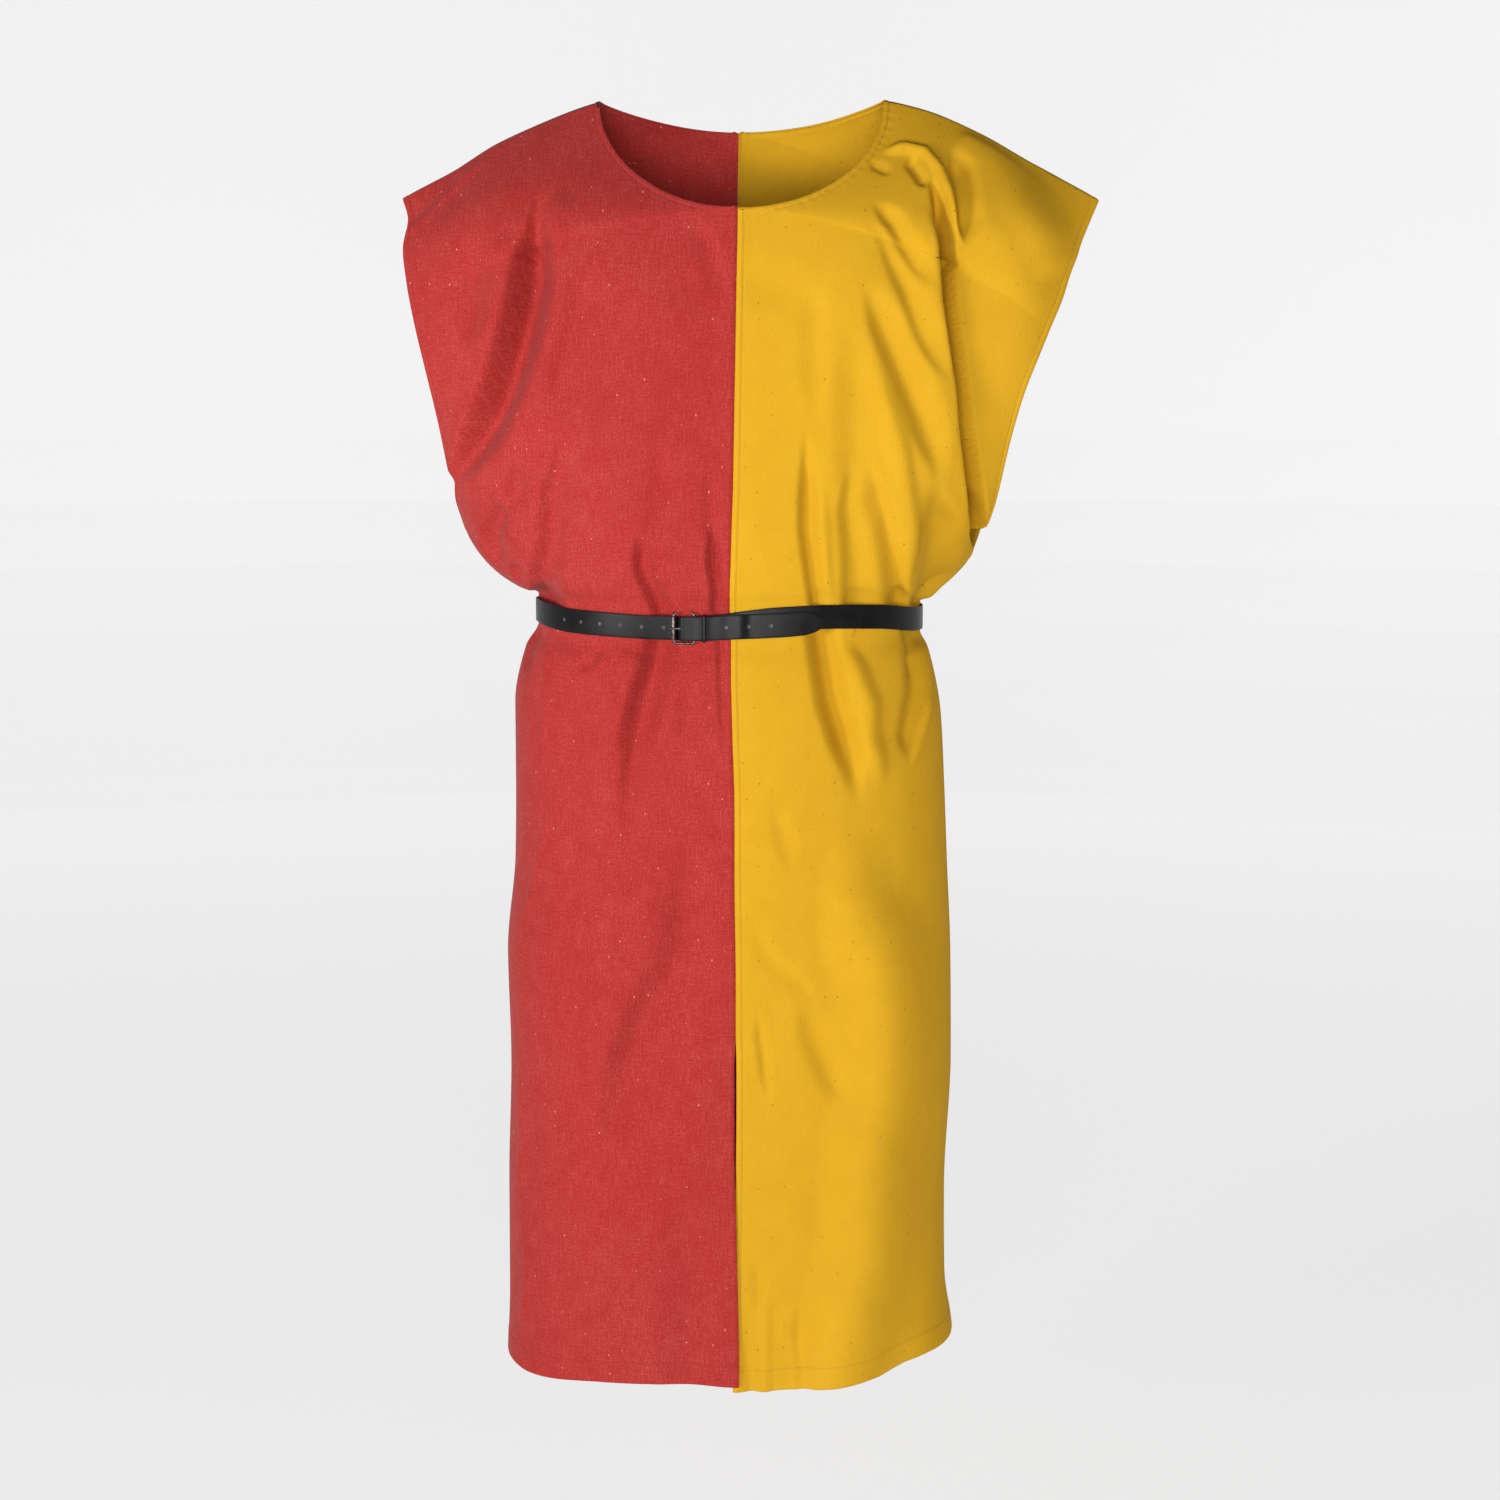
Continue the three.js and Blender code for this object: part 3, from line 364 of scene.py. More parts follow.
def woven(name, deep, middle, light, speck, speck_share, streak, roughness, sheen, gloss):
    """Plain woven cotton on the panel's own map: threads, uneven yarn and a few slubs."""
    cotton = Finish(name)
    uv = cotton.add("UVMap", {}, uv_map="cloth")

    def scaled(x, y):
        return cotton.add("Mapping", {"Vector": uv, "Scale": (x, y, 1)})

    def noise(x, y, detail=2.0):
        return cotton.add("TexNoise", {"Vector": scaled(x, y), "Scale": 1.0, "Detail": detail},
                          "Fac", noise_dimensions="2D")

    warp, weft = noise(780, 60), noise(70, 780)
    tone = cotton.math("MULTIPLY_ADD", warp, streak, 0.5 - streak / 2)
    for texture, share in [(weft, 0.7 * streak), (noise(55, 40, 3.0), 0.16), (noise(9, 5), 0.14),
                           (noise(620, 520), 1.7 * streak)]:
        tone = cotton.math("MULTIPLY_ADD", texture, share, cotton.math("SUBTRACT", tone, share / 2))
    colours = cotton.shades(tone, (0.18, deep), (0.5, middle), (0.82, light))

    cells = cotton.add("TexVoronoi", {"Vector": scaled(88, 62), "Scale": 1.0},
                       voronoi_dimensions="2D").node
    chosen = cotton.add("SeparateColor", {"Color": cells.outputs["Color"]}).node
    size = cotton.math("MULTIPLY_ADD", chosen.outputs["Green"], 0.05, 0.015)
    spot = cotton.math("LESS_THAN", cells.outputs["Distance"], size)
    picked = cotton.math("GREATER_THAN", chosen.outputs["Red"], 1 - speck_share)
    mask = cotton.math("MULTIPLY", cotton.math("MULTIPLY", spot, picked), 0.85)
    mixed = cotton.add("Mix", {"Factor": mask, "A": colours, "B": (*speck, 1)}, "Result",
                       data_type="RGBA")

    split = cotton.add("SeparateXYZ", {"Vector": uv}).node
    ribs = [cotton.math("MULTIPLY", split.outputs[axis], math.pi / pitch)
            for axis, pitch in (("X", 0.00075), ("Y", 0.0008))]
    over, under = [cotton.math("SINE", rib) for rib in ribs]
    relief = cotton.math("MULTIPLY_ADD", cotton.math("MULTIPLY", over, under), 0.25,
                         cotton.math("ADD", warp, weft))
    bump = cotton.add("Bump", {"Height": relief, "Strength": 0.55, "Distance": 0.0003})
    return cotton.shader(Base_Color=mixed, Normal=bump, Roughness=roughness,
                         Specular_IOR_Level=gloss, Sheen_Weight=sheen, Sheen_Roughness=0.45)


red_cotton = woven("red cotton", (0.26, 0.007, 0.006), (0.335, 0.023, 0.020),
                   (0.43, 0.062, 0.054), (0.58, 0.19, 0.165), 0.15, 0.30, 0.88, 0.04, 0.2)


def line_at(cloth, field, value, index, down=False):
    """Points and normals where a distance field of the panel has one value."""
    swap = (lambda a: np.swapaxes(a, 0, 1)) if down else (lambda a: a)
    points, normals, values = swap(cloth["outer"]), swap(cloth["normal"]), swap(cloth[field])
    found = []
    for j in index:
        line, steps = values[j], np.arange(values.shape[1], dtype=float)
        if line[0] > line[-1]:
            line, steps = line[::-1], steps[::-1]
        at = float(np.interp(value, line, steps))
        i = min(int(at), values.shape[1] - 2)
        found.append([p[j, i] * (1 - at + i) + p[j, i + 1] * (at - i) for p in (points, normals)])
    return np.array(found)


def neck_line(cloth, value):
    """The same at one distance from the neckline, sorted along it."""
    near = np.abs(cloth["d_neck"] - value) < 1.6
    spots, normals = cloth["outer"][near], cloth["normal"][near]
    off, run = cloth["d_neck"][near] - value, cloth["neck_run"][near]
    found = []
    for at in np.arange(1.5, run.max() - 1.0, 1.8):
        weight = np.exp(-((off / 0.5) ** 2) - ((run - at) / 1.3) ** 2)
        if weight.sum() > 0.3:
            weight /= weight.sum()
            found.append([(spots * weight[:, None]).sum(0), (normals * weight[:, None]).sum(0)])
    return np.array(found)


def sew(name, lines, material, pitch=3.3, size=(1.25, 0.30, 0.24)):
    """Rows of separate stitches. One stitch is shaped from a small sphere, and copied."""
    bpy.ops.mesh.primitive_uv_sphere_add(segments=6, ring_count=4, radius=1,
                                         rotation=(0, math.pi / 2, 0))
    bpy.ops.object.transform_apply(rotation=True)
    first = bpy.context.object
    shape = np.array([vertex.co for vertex in first.data.vertices]) * np.array(size)
    pattern = [tuple(face.vertices) for face in first.data.polygons]
    bpy.data.objects.remove(first)
    points, faces = [], []
    for line in lines:
        run = run_along(line[:, 0])
        for k, at in enumerate(np.arange(pitch * 0.6, run[-1] - pitch * 0.4, pitch)):
            at = at + 0.22 * math.sin(2.7 * k)
            sample = lambda d, part: np.array([np.interp(at + d, run, line[:, part, c])
                                               for c in range(3)])
            along = sample(1.0, 0) - sample(-1.0, 0)
            along /= max(np.linalg.norm(along), 1e-9)
            normal = sample(0, 1)
            normal -= along * normal.dot(along)
            normal /= max(np.linalg.norm(normal), 1e-9)
            side = np.cross(normal, along)
            along = along + side * 0.05 * math.sin(1.9 * k)
            base = len(points) * len(shape)
            points.append(sample(0, 0) + normal * 0.05 + shape @ np.stack([along, side, normal]))
            faces += [tuple(base + i for i in face) for face in pattern]
    mesh = bpy.data.meshes.new(name)
    mesh.from_pydata((np.concatenate(points) * 0.001).tolist(), [], faces)
    mesh.shade_smooth()
    mesh.materials.append(material)
    piece = bpy.data.objects.new(name, mesh)
    bpy.context.scene.collection.objects.link(piece)
    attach(piece, "root")
    return piece


def thread(name, dark, light):
    """Twisted sewing thread: fine slanting bands of a darker and a lighter shade."""
    yarn = Finish(name)
    twist = yarn.add("TexWave", {"Vector": yarn.add("TexCoord", {}, "Object"), "Scale": 900,
                                 "Distortion": 2}, "Fac", bands_direction="DIAGONAL")
    return yarn.shader(Base_Color=yarn.shades(twist, (0, dark), (1, light)), Roughness=0.6)


red_thread = thread("red sewing thread", (0.20, 0.008, 0.010), (0.36, 0.03, 0.03))


def panel_stitches(cloth, topstitch_from):
    """Neck, armhole and hem rows, and the row beside the centre edge below a given height,
    which stops for the belt."""
    v, columns_across = cloth["v"], range(2, cloth["outer"].shape[1] - 2)
    lines = [neck_line(cloth, NECK_HEM),
             line_at(cloth, "d_out", ARM_HEM, np.nonzero((v > 0.004) & (v < ARMHOLE_V - 0.004))[0]),
             line_at(cloth, "d_hem", LOW_HEM, columns_across, down=True)]
    beside = (v > NECK_V + 0.006) & (cloth["outer"][:, 0, 2] < topstitch_from) & (v < 0.998)
    beside &= np.abs(cloth["outer"][:, 0, 2] - UNDER_BELT) > 12
    rows = np.nonzero(beside)[0]
    for part in np.split(rows, np.nonzero(np.diff(rows) > 1)[0] + 1):
        if len(part) > 2:
            lines.append(line_at(cloth, "d_in", TOPSTITCH, part))
    return lines


FRONT_ROWS = [(0, 0.11, 80), (0.11, 0.124, 10), (0.124, 0.335, 66), (0.335, 0.36, 12),
              (0.36, 0.40, 14), (0.40, 0.455, 26), (0.455, 0.975, 92), (0.975, 0.9785, 1),
              (0.9785, 0.9855, 8), (0.9855, 0.997, 4), (0.997, 1, 3)]


def tucked(z):
    """How far the foot of a front panel swings back under its own weight."""
    return 9 * np.clip((-960 - z) / 167, 0, 1) ** 2


def low_down(z):
    """Fades in over the lowest part, where a crooked hem shows."""
    return ramp((-980 - z) / 147)


def red_slit(points, d_in, v):
    """Below the slit's top the red edge first stands open, then laps over the yellow one."""
    z = points[..., 2]
    gap = ramp((SLIT_TOP - z) / 30) * (1 - ramp((-905 - z) / 80))
    lap = ramp((-950 - z) / 177)
    near = np.exp(-d_in / 30.0)
    below = (v > NECK_V)[:, None] & (z < SLIT_TOP + 14)
    points[..., 0] += np.where(below, (4.5 * lap - 1.3 * gap) * near, 0)
    points[..., 1] += np.where(below, -2.5 * ramp((-860 - z) / 140) * near, 0)
    points[..., 1] += tucked(z) * ramp((180 + points[..., 0]) / 60)
    hang = np.interp(points[..., 0], [-205, -190, -150, -76, -30, 0], [0, -2, -0.5, 1.6, 1.0, 0])
    points[..., 2] += hang * low_down(z)
    return points


front_right, red_front = cloth_panel("front_right_panel", right, "front", front, [
    (14, 36, -26, 0.3, 0.3, [-166, -66, -172, -105, -180, -141, -186, -176, -195, -205,
                              -206, -235, -218, -262, -232, -290, -247, -322, -256, -345]),
    (30, 10, 3.2, 0.2, 0.3, [-188, -106, -198, -142, -204, -175, -214, -205, -225, -236]),
    (14, 29, -4, 0.3, 0.4, [-116, -126, -128, -160, -136, -185, -148, -227, -155, -277]),
    (23, 21, 2.7, 0.3, 0.5, [-141, -72, -152, -100, -160, -150]),
    (16, 26, -5, 0.35, 0.35, [-229, -112, -228, -160, -226, -215]),
    (13, 26, -8, 0.5, 0, [-144, -270, -152, -311, -160, -337, -161, -377, -171, -405, -170, -428]),
    (11, 18, -9, 0.2, 0.3, [-195, -345, -207, -351, -216, -367, -217, -381, -210, -394,
                            -203, -404]),
    (8, 9, -4.5, 0.3, 0.3, [-197, -395, -187, -413]),
    (12, 20, -6, 0.4, 0.3, [-188, -300, -191, -330, -192, -352]),
    (9, 18, -8.4, 0.35, 0, [-84, -362, -80, -380, -81, -393, -77, -406, -69, -424, -65, -435]),
    (19, 22, -3.4, 0.4, 0.3, [-68, -277, -62, -320, -67, -354, -73, -377]),
    (8, 13, -12, 0.4, 0, [-18, -352, -18, -375, -18, -392, -14, -414, -15, -431]),
    (12, 11, -2.5, 0.4, 0.2, [-20, -300, -19, -345, -18, -375]),
    (5, 6, -2.2, 0.3, 0, [-10, -405, -11, -430]),
    (22, 10, -2.7, 0.3, 0.3, [-34, -96, -14, -134, -8, -168]),
    (26, 34, -1.4, 0.4, 0, [-60, -162, -20, -161, 3, -161]),
    (7, 6, 1.7, 0.1, 0.3, [-290, -111, -267, -92, -233, -53, -206, -36]),
    (16, 28, -12, 0, 0.75, [-66, -459, -72, -480, -79, -507, -84, -528, -88, -549, -92, -576,
                           -94, -603, -95, -655]),
    (28, 9, 3.2, 0.1, 0.4, [-77, -467, -95, -510, -107, -550, -115, -590]),
    (9, 9, -13, 0, 0.5, [-9, -460, -8, -488, -7, -510, -9, -560]),
    (9, 9, -2.7, 0.2, 0.4, [-114, -462, -127, -479, -142, -490]),
    (17, 13, -3.4, 0.4, 0.4, [-37, -490, -41, -520, -44, -548]),
    (25, 48, -9, 0.35, 0.3, [-39, -610, -43, -685, -46, -730, -57, -757, -70, -780, -82, -803,
                               -92, -831, -100, -857, -109, -885, -117, -930]),
    (41, 23, 4.2, 0.3, 0.3, [-66, -630, -78, -686, -89, -731, -105, -776, -116, -822, -128, -870]),
    (6, 6, 1.4, 0.1, 0.3, [-168, -473, -167, -515, -171, -560]),
    (6, 6, 1.4, 0.2, 0.2, [-162, -608, -172, -650, -183, -697, -199, -741]),
    (5, 10, 2.1, 0.3, 0.3, [-200, -862, -192, -908, -195, -942, -203, -974]),
    (9, 8, 2.1, 0.3, 0.3, [-188, -1000, -188, -1039, -195, -1098]),
    (9, 9, -5, 0, 0.5, [-178, -458, -185, -475, -186, -500]),
    (18, 20, -2.5, 0.3, 0.3, [-110, -700, -116, -740, -120, -786]),
    (32, 33, -3.4, 0.4, 0, [-46, -940, -40, -1030, -44, -1125]),
], FRONT_ROWS, 116, 0.7, {"pucker": 0.12, "stitch_from": -730, "rise": 0.45}, red_slit)
front_right.data.materials.append(red_cotton)
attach(front_right, "root")
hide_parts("front_right")
red_front_stitches = sew("front_right_stitching", panel_stitches(red_front, -730), red_thread)
# A few turns of dark thread hold the neck hem at the shoulder seam.
dark_thread = thread("dark tacking thread", (0.02, 0.006, 0.008), (0.07, 0.02, 0.022))
tack = [neck_line(red_front, at) for at in (1.6, 2.3, 3.0)]
tack = [line[line[:, 0, 2] > line[:, 0, 2].max() - 7] for line in tack]
shoulder_tack = sew("shoulder_tack", tack, dark_thread, pitch=0.9, size=(1.1, 0.38, 0.4))

# Left front panel: the same cut in plain yellow cotton, smoother and closer woven. The seam
# allowance is pressed to this side and topstitched, which leaves a narrow raised band.
left = columns(["x_out", "z_out", "x_in", "fall", "lift"], [
    (322, -78, 0, 1.18, 0), (310, -102, 0, 1.22, 0), (297, -131, 0, 1.3, 0),
    (286, -165, 0, 1.4, 0), (273, -195, 3, 1.4, 0), (252, -250, 2, 1.4, 0),
    (240, -306, 1, 1.4, 0), (229, -352, 0, 1.4, 0), (210, -397, -1, 1.4, 0),
    (199, -410, -2, 1.5, 0), (186, -422, -3, 1.7, 2), (176, -431, -4, 2.0, 4),
    (167, -434, -4, 2.0, 5), (167, -459, -3, 2.0, 3), (174, -475, -3, 1.8, 1),
    (186, -533, -2, 1.5, 0), (190, -600, 0, 1.5, 0), (193, -668, 0, 1.5, 0),
    (197, -755, 1, 1.5, 0), (198, -850, 1, 1.5, 0), (193, -970, 1, 1.5, 0),
    (194, -1064, 0, 1.5, 0), (201, -1125, -1, 1.5, 0),
])
left.update(out=1, corner=131.0,
            shoulder=curve([128, 150, 181, 219, 266, 285, 318], [-1.2, 1, 3, 2, -1.6, -1.5, 0]))

yellow_cotton = woven("yellow cotton", (0.45, 0.236, 0.008), (0.53, 0.29, 0.013),
                      (0.61, 0.347, 0.021), (0.30, 0.13, 0.012), 0.2, 0.11, 0.9, 0.0, 0.06)


def yellow_slit(points, d_in, v):
    """The yellow edge runs behind the red one at the foot of the slit and hangs a little longer."""
    z = points[..., 2]
    near = np.exp(-d_in / 26.0)
    x = points[..., 0]
    points[..., 1] -= 17 * ramp((x - 188) / 85) * ramp((-z - 45) / 70) * (1 - ramp((-z - 300) / 90))
    below = (v > NECK_V)[:, None] & (z < SLIT_TOP + 14)
    lap = ramp((-860 - z) / 180)
    apart = 0.6 * ramp((SLIT_TOP - z) / 30) * (1 - lap) * near
    points[..., 0] += np.where(below, apart - lap * near, 0)
    points[..., 1] += np.where(below, 2.2 * lap * near, 0)
    points[..., 1] += tucked(z) * ramp((185 - x) / 60)
    hang = np.interp(x, [0, 20, 60, 95, 130, 153, 175, 193, 205],
                     [-6, -5, -1.5, 2, 6, 14, 18, 19, 19])
    points[..., 2] += hang * low_down(z)
    return points


def yellow_back_hem(points, d_in, v):
    """The back hem rises with the front one towards the side seam, where the two are joined."""
    rise = np.interp(points[..., 0], [60, 95, 130, 153, 175, 193], [0, 2, 6, 14, 18, 19])
    points[..., 2] += rise * low_down(points[..., 2])
    return points


front_left, yellow_front = cloth_panel("front_left_panel", left, "front", front, [
    (14, 6, -25, 0.14, 0.14, [169, -56, 180, -86, 185, -107, 188, -134, 190, -167, 197, -210,
                              205, -253, 212, -296, 217, -340, 219, -363, 218, -392]),
    (12, 6, -12, 0.4, 0.14, [203, -240, 212, -296, 217, -340, 219, -363, 218, -392]),
    (10, 70, -7, 0.25, 0.3, [176, -70, 184, -134, 193, -210, 205, -296, 214, -380]),
    (39, 10, 4.2, 0.2, 0.3, [160, -80, 171, -120, 174, -167, 181, -210, 188, -253, 194, -300]),
    (7, 8, 5.2, 0.15, 0.3, [126, -40, 148, -36, 165, -40, 177, -56, 185, -77, 191, -103,
                            200, -124]),
    (12, 20, -7.8, 0.25, 0.3, [190, -34, 197, -73, 202, -122]),
    (30, 34, 4.2, 0.1, 0.1, [198, -14, 232, -54, 266, -106, 290, -149]),
    (6, 9, -2.2, 0.3, 0.3, [115, -50, 137, -59]),
    (9, 8, -4.5, 0.2, 0.3, [150, -44, 158, -56, 167, -72]),
    (11, 15, -5.6, 0.25, 0.3, [118, -83, 136, -101, 149, -125, 162, -146, 171, -161]),
    (14, 20, -6, 0.5, 0.3, [109, -96, 126, -113, 135, -134, 149, -159, 161, -193, 175, -222,
                            189, -241]),
    (17, 24, -8, 0.25, 0.3, [110, -150, 125, -184, 138, -214, 151, -243, 165, -278, 174, -303,
                             179, -328]),
    (17, 13, 3.6, 0.3, 0.2, [110, -200, 128, -252, 140, -286, 146, -320, 154, -364, 150, -420]),
    (26, 28, -5, 0.4, 0.3, [102, -180, 104, -252, 106, -286, 100, -345]),
    (14, 30, -6.4, 0.4, 0, [101, -300, 99, -345, 103, -388, 104, -428]),
    (22, 8, -7.6, 0.3, 0, [114, -300, 134, -355, 142, -390, 148, -430]),
    (11, 13, -8.4, 0.45, 0, [61, -270, 63, -320, 63, -362, 68, -397, 73, -428]),
    (28, 22, -10.5, 0.4, 0, [172, -322, 182, -365, 181, -392, 178, -431]),
    (19, 15, -2.7, 0.2, 0.5, [69, -155, 69, -210, 69, -275]),
    (26, 34, -1.5, 0, 0.4, [0, -160, 30, -160, 70, -160]),
    (10, 10, 2.1, 0.4, 0, [75, -320, 77, -428]),
    (22, 15, -13.5, 0, 0.45, [79, -455, 83, -481, 88, -511, 98, -541, 104, -563, 110, -604]),
    (18, 17, 6.3, 0.25, 0.25, [96, -458, 107, -495, 116, -516, 116, -546, 132, -589]),
    (20, 12, -8, 0, 0.2, [162, -456, 165, -507, 158, -541, 152, -568]),
    (7, 9, 3, 0.5, 0.3, [173, -490, 171, -525, 163, -546, 155, -576]),
    (8, 7, -4.5, 0, 0.4, [160, -456, 164, -500]),
    (48, 66, 14, 0.3, 0, [96, -600, 101, -660, 103, -687, 111, -713, 121, -736, 128, -763,
                         132, -794, 133, -831, 131, -867, 120, -898, 117, -939, 117, -984,
                         111, -1023, 103, -1045, 101, -1072, 90, -1127]),
    (11, 15, -2, 0.3, 0.4, [34, -600, 44, -636, 52, -664]),
    (19, 7, -2.2, 0.3, 0.3, [14, -706, 35, -738, 57, -756, 74, -778]),
    (19, 20, -4.5, 0.3, 0.3, [58, -774, 73, -811, 84, -838, 98, -870]),
    (8, 8, -2.9, 0.3, 0.4, [20, -782, 26, -827, 30, -866]),
    (11, 10, -2.2, 0.3, 0.4, [19, -1010, 24, -1054]),
    (9, 9, -2.5, 0.4, 0, [56, -1046, 62, -1127]),
    (12, 11, -4, 0.5, 0, [8, -1060, 14, -1127]),
    (9, 9, 1.7, 0.3, 0, [27, -1030, 27, -1127]),
    (5, 3, -0.9, 0.3, 0.3, [93, -802, 115, -829]),
    (5, 5, 0.9, 0.3, 0.3, [35, -1063, 111, -1033]),
], FRONT_ROWS, 116, 2.1, {"pucker": 0.3, "stitch_from": 100, "rise": 0.6}, yellow_slit)
front_left.data.materials.append(yellow_cotton)
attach(front_left, "root")
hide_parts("front_left")
yellow_thread = thread("yellow sewing thread", (0.36, 0.17, 0.006), (0.55, 0.28, 0.012))
yellow_front_stitches = sew("front_left_stitching", panel_stitches(yellow_front, 100),
                            yellow_thread)
# A bartack in red thread locks the centre seam just under the neck hem.
tack = [neck_line(yellow_front, at) for at in (2.2, 2.9, 3.6, 4.3)]
tack = [line[line[:, 0, 0] < 8.5] for line in tack]
neck_bartack = sew("neck_bartack", tack, red_thread, pitch=0.9, size=(1.0, 0.36, 0.4))

# Back panels: red on the wearer's right and yellow on the left, with a shallow neckline, a
# plain centre seam and no slit. They hang from the same shoulder seams as the front.
back = columns(["z_in", "y_in", "y_out", "swell", "turn", "full"], [
    (9, 0, 0, 0, 40, 2.0), (0, 0, 11, 8, 46, 2.0), (0, 0, 24, 13, 54, 2.0),
    (0, 0, 34, 16, 62, 2.0), (-15, 66, 42, 18, 68, 2.0), (-92, 88, 49, 18, 72, 2.0),
    (-170, 102, 47, 14, 76, 2.1), (-236, 107, 34, 9, 83, 2.2), (-300, 108, 0, 4, 90, 2.3),
    (-333, 108, 0, 2, 90, 2.3), (-374, 107, 0, 0, 90, 2.3), (-408, 104, 0, 0, 90, 2.3),
    (-430, 100, 0, 0, 90, 2.3), (-458, 100, 0, 0, 90, 2.3), (-478, 105, 0, 0, 90, 2.3),
    (-528, 115, 0, 0, 90, 2.2), (-598, 121, 0, 0, 90, 2.2), (-664, 123, 0, 0, 90, 2.2),
    (-752, 125, 0, 0, 90, 2.25), (-850, 126, 0, 0, 90, 2.35), (-971, 127, 0, 0, 90, 2.45),
    (-1065, 128, 0, 0, 90, 2.6), (-1127, 128, 0, 0, 90, 2.7),
])
BACK_ROWS = [(0, 0.11, 60), (0.11, 0.124, 8), (0.124, 0.335, 50), (0.335, 0.36, 10),
             (0.36, 0.40, 10), (0.40, 0.455, 16), (0.455, 0.975, 100), (0.975, 0.9785, 1),
             (0.9785, 0.9855, 6), (0.9855, 0.997, 3), (0.997, 1, 3)]

back_right, red_back = cloth_panel("back_right_panel", right, "back", back, [
    (28, 32, -9, 0.3, 0.3, [-120, -70, -160, -170, -205, -300]),
    (24, 26, 6, 0.3, 0.4, [-88, -90, -122, -180, -160, -290]),
    (12, 18, -5, 0.4, 0.4, [-66, -96, -82, -150, -104, -215]),
    (14, 18, -7, 0.5, 0.1, [-60, -350, -72, -424]),
    (14, 18, -7, 0.5, 0.1, [-130, -330, -124, -424]),
    (9, 12, -4, 0.5, 0.1, [-22, -372, -25, -424]),
    (16, 20, -7, 0.4, 0.15, [-92, -290, -98, -424]),
    (20, 26, -7, 0.1, 0.5, [-166, -466, -150, -760]),
    (10, 13, -5, 0.5, 0.1, [-160, -360, -160, -424]),
    (12, 18, -7, 0.1, 0.5, [-72, -462, -84, -590]),
    (9, 13, -4, 0.1, 0.5, [-28, -462, -34, -540]),
    (12, 16, -6, 0.1, 0.5, [-128, -462, -134, -575]),
    (36, 40, -9, 0.3, 0.1, [-130, -600, -100, -860, -112, -1120]),
    (30, 34, 5, 0.3, 0.1, [-56, -640, -60, -860, -52, -1120]),
], BACK_ROWS, 62, 3.4, {"pucker": 0.15, "stitch_from": -1200, "rise": 0.4})
back_left, yellow_back = cloth_panel("back_left_panel", left, "back", back, [
    (30, 30, -9, 0.3, 0.3, [128, -74, 158, -180, 186, -310]),
    (22, 26, 6, 0.3, 0.4, [92, -84, 120, -180, 146, -300]),
    (12, 16, -4, 0.4, 0.4, [70, -92, 80, -150, 96, -210]),
    (14, 18, -7, 0.5, 0.1, [48, -345, 62, -424]),
    (15, 19, -6, 0.4, 0.15, [22, -300, 26, -424]),
    (20, 26, -7, 0.1, 0.5, [172, -466, 160, -720]),
    (14, 18, -7, 0.5, 0.1, [118, -340, 126, -424]),
    (9, 12, -4, 0.5, 0.1, [90, -370, 94, -424]),
    (8, 12, -4, 0.5, 0.1, [152, -375, 153, -424]),
    (14, 18, -7, 0.1, 0.5, [98, -462, 84, -580]),
    (9, 12, -4, 0.1, 0.5, [40, -462, 38, -550]),
    (10, 14, -5, 0.1, 0.5, [146, -468, 138, -560]),
    (36, 40, -9, 0.3, 0.1, [70, -620, 96, -840, 120, -1120]),
    (26, 30, 5, 0.3, 0.1, [140, -640, 146, -860, 152, -1120]),
], BACK_ROWS, 62, 4.6, {"pucker": 0.2, "stitch_from": 100, "rise": 0.55}, yellow_back_hem)
for panel, cloth, node, slot_name, cotton, sewing, topstitch_from in [
        (back_right, red_back, "back_right", "red_cloth", red_cotton, red_thread, -1200),
        (back_left, yellow_back, "back_left", "yellow_cloth", yellow_cotton, yellow_thread, 100)]:
    panel.data.materials.append(cotton)
    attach(panel, "root")
    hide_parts(node)
    stitching = sew(node + "_stitching", panel_stitches(cloth, topstitch_from), sewing)

# Belt strap: one strip of black bridle leather, 21 mm wide and 1.7 mm thick, with a row of
# punched holes. Its fixed end turns round the buckle's heel bar, and its pointed tail comes
# back over the roller, takes the prong, and passes under the keeper.
LEATHER, BELT_HALF, BUCKLE_OUT, BUCKLE_Z = 1.7, 10.5, 4.8, -447.5
ROLLER_AT, HEEL_AT, KEEPER_AT, PRONG_AT = -52.0, -34.0, -25.5, -46.3
BAR, ROLLER, PIN = 1.2, 2.2, 0.95
PIN_OUT = BUCKLE_OUT + ROLLER + 0.3 + PIN
HOLE_STEP, POINT = 19.5, 22
UNDER = 0.6 + LEATHER / 2
OVER = UNDER + LEATHER + 0.3


def waist_quarter(side, face, depth):
    """Plan of one panel where the belt lies."""
    rows, _ = plain_rows(side, face, depth, np.array([WAIST_V]), lambda n: np.linspace(0, n, 61))
    return rows[0][:, :2]


plan = np.concatenate([
    waist_quarter(left, "front", front), waist_quarter(left, "back", back)[::-1][1:],
    waist_quarter(right, "back", back)[1:], waist_quarter(right, "front", front)[::-1][1:]])
plan_run = run_along(plan)
GIRTH = plan_run[-1]


def waist(s, away):
    """Plan of a point at distance s round the waist from the middle of the front."""
    at = (s - plan[0, 0]) % GIRTH
    point, before, after = [np.array([np.interp((at + d) % GIRTH, plan_run, plan[:, k])
                                      for k in (0, 1)]) for d in (0, -7, 7)]
    along = (after - before) / np.linalg.norm(after - before)
    return point + np.array([along[1], -along[0]]) * away


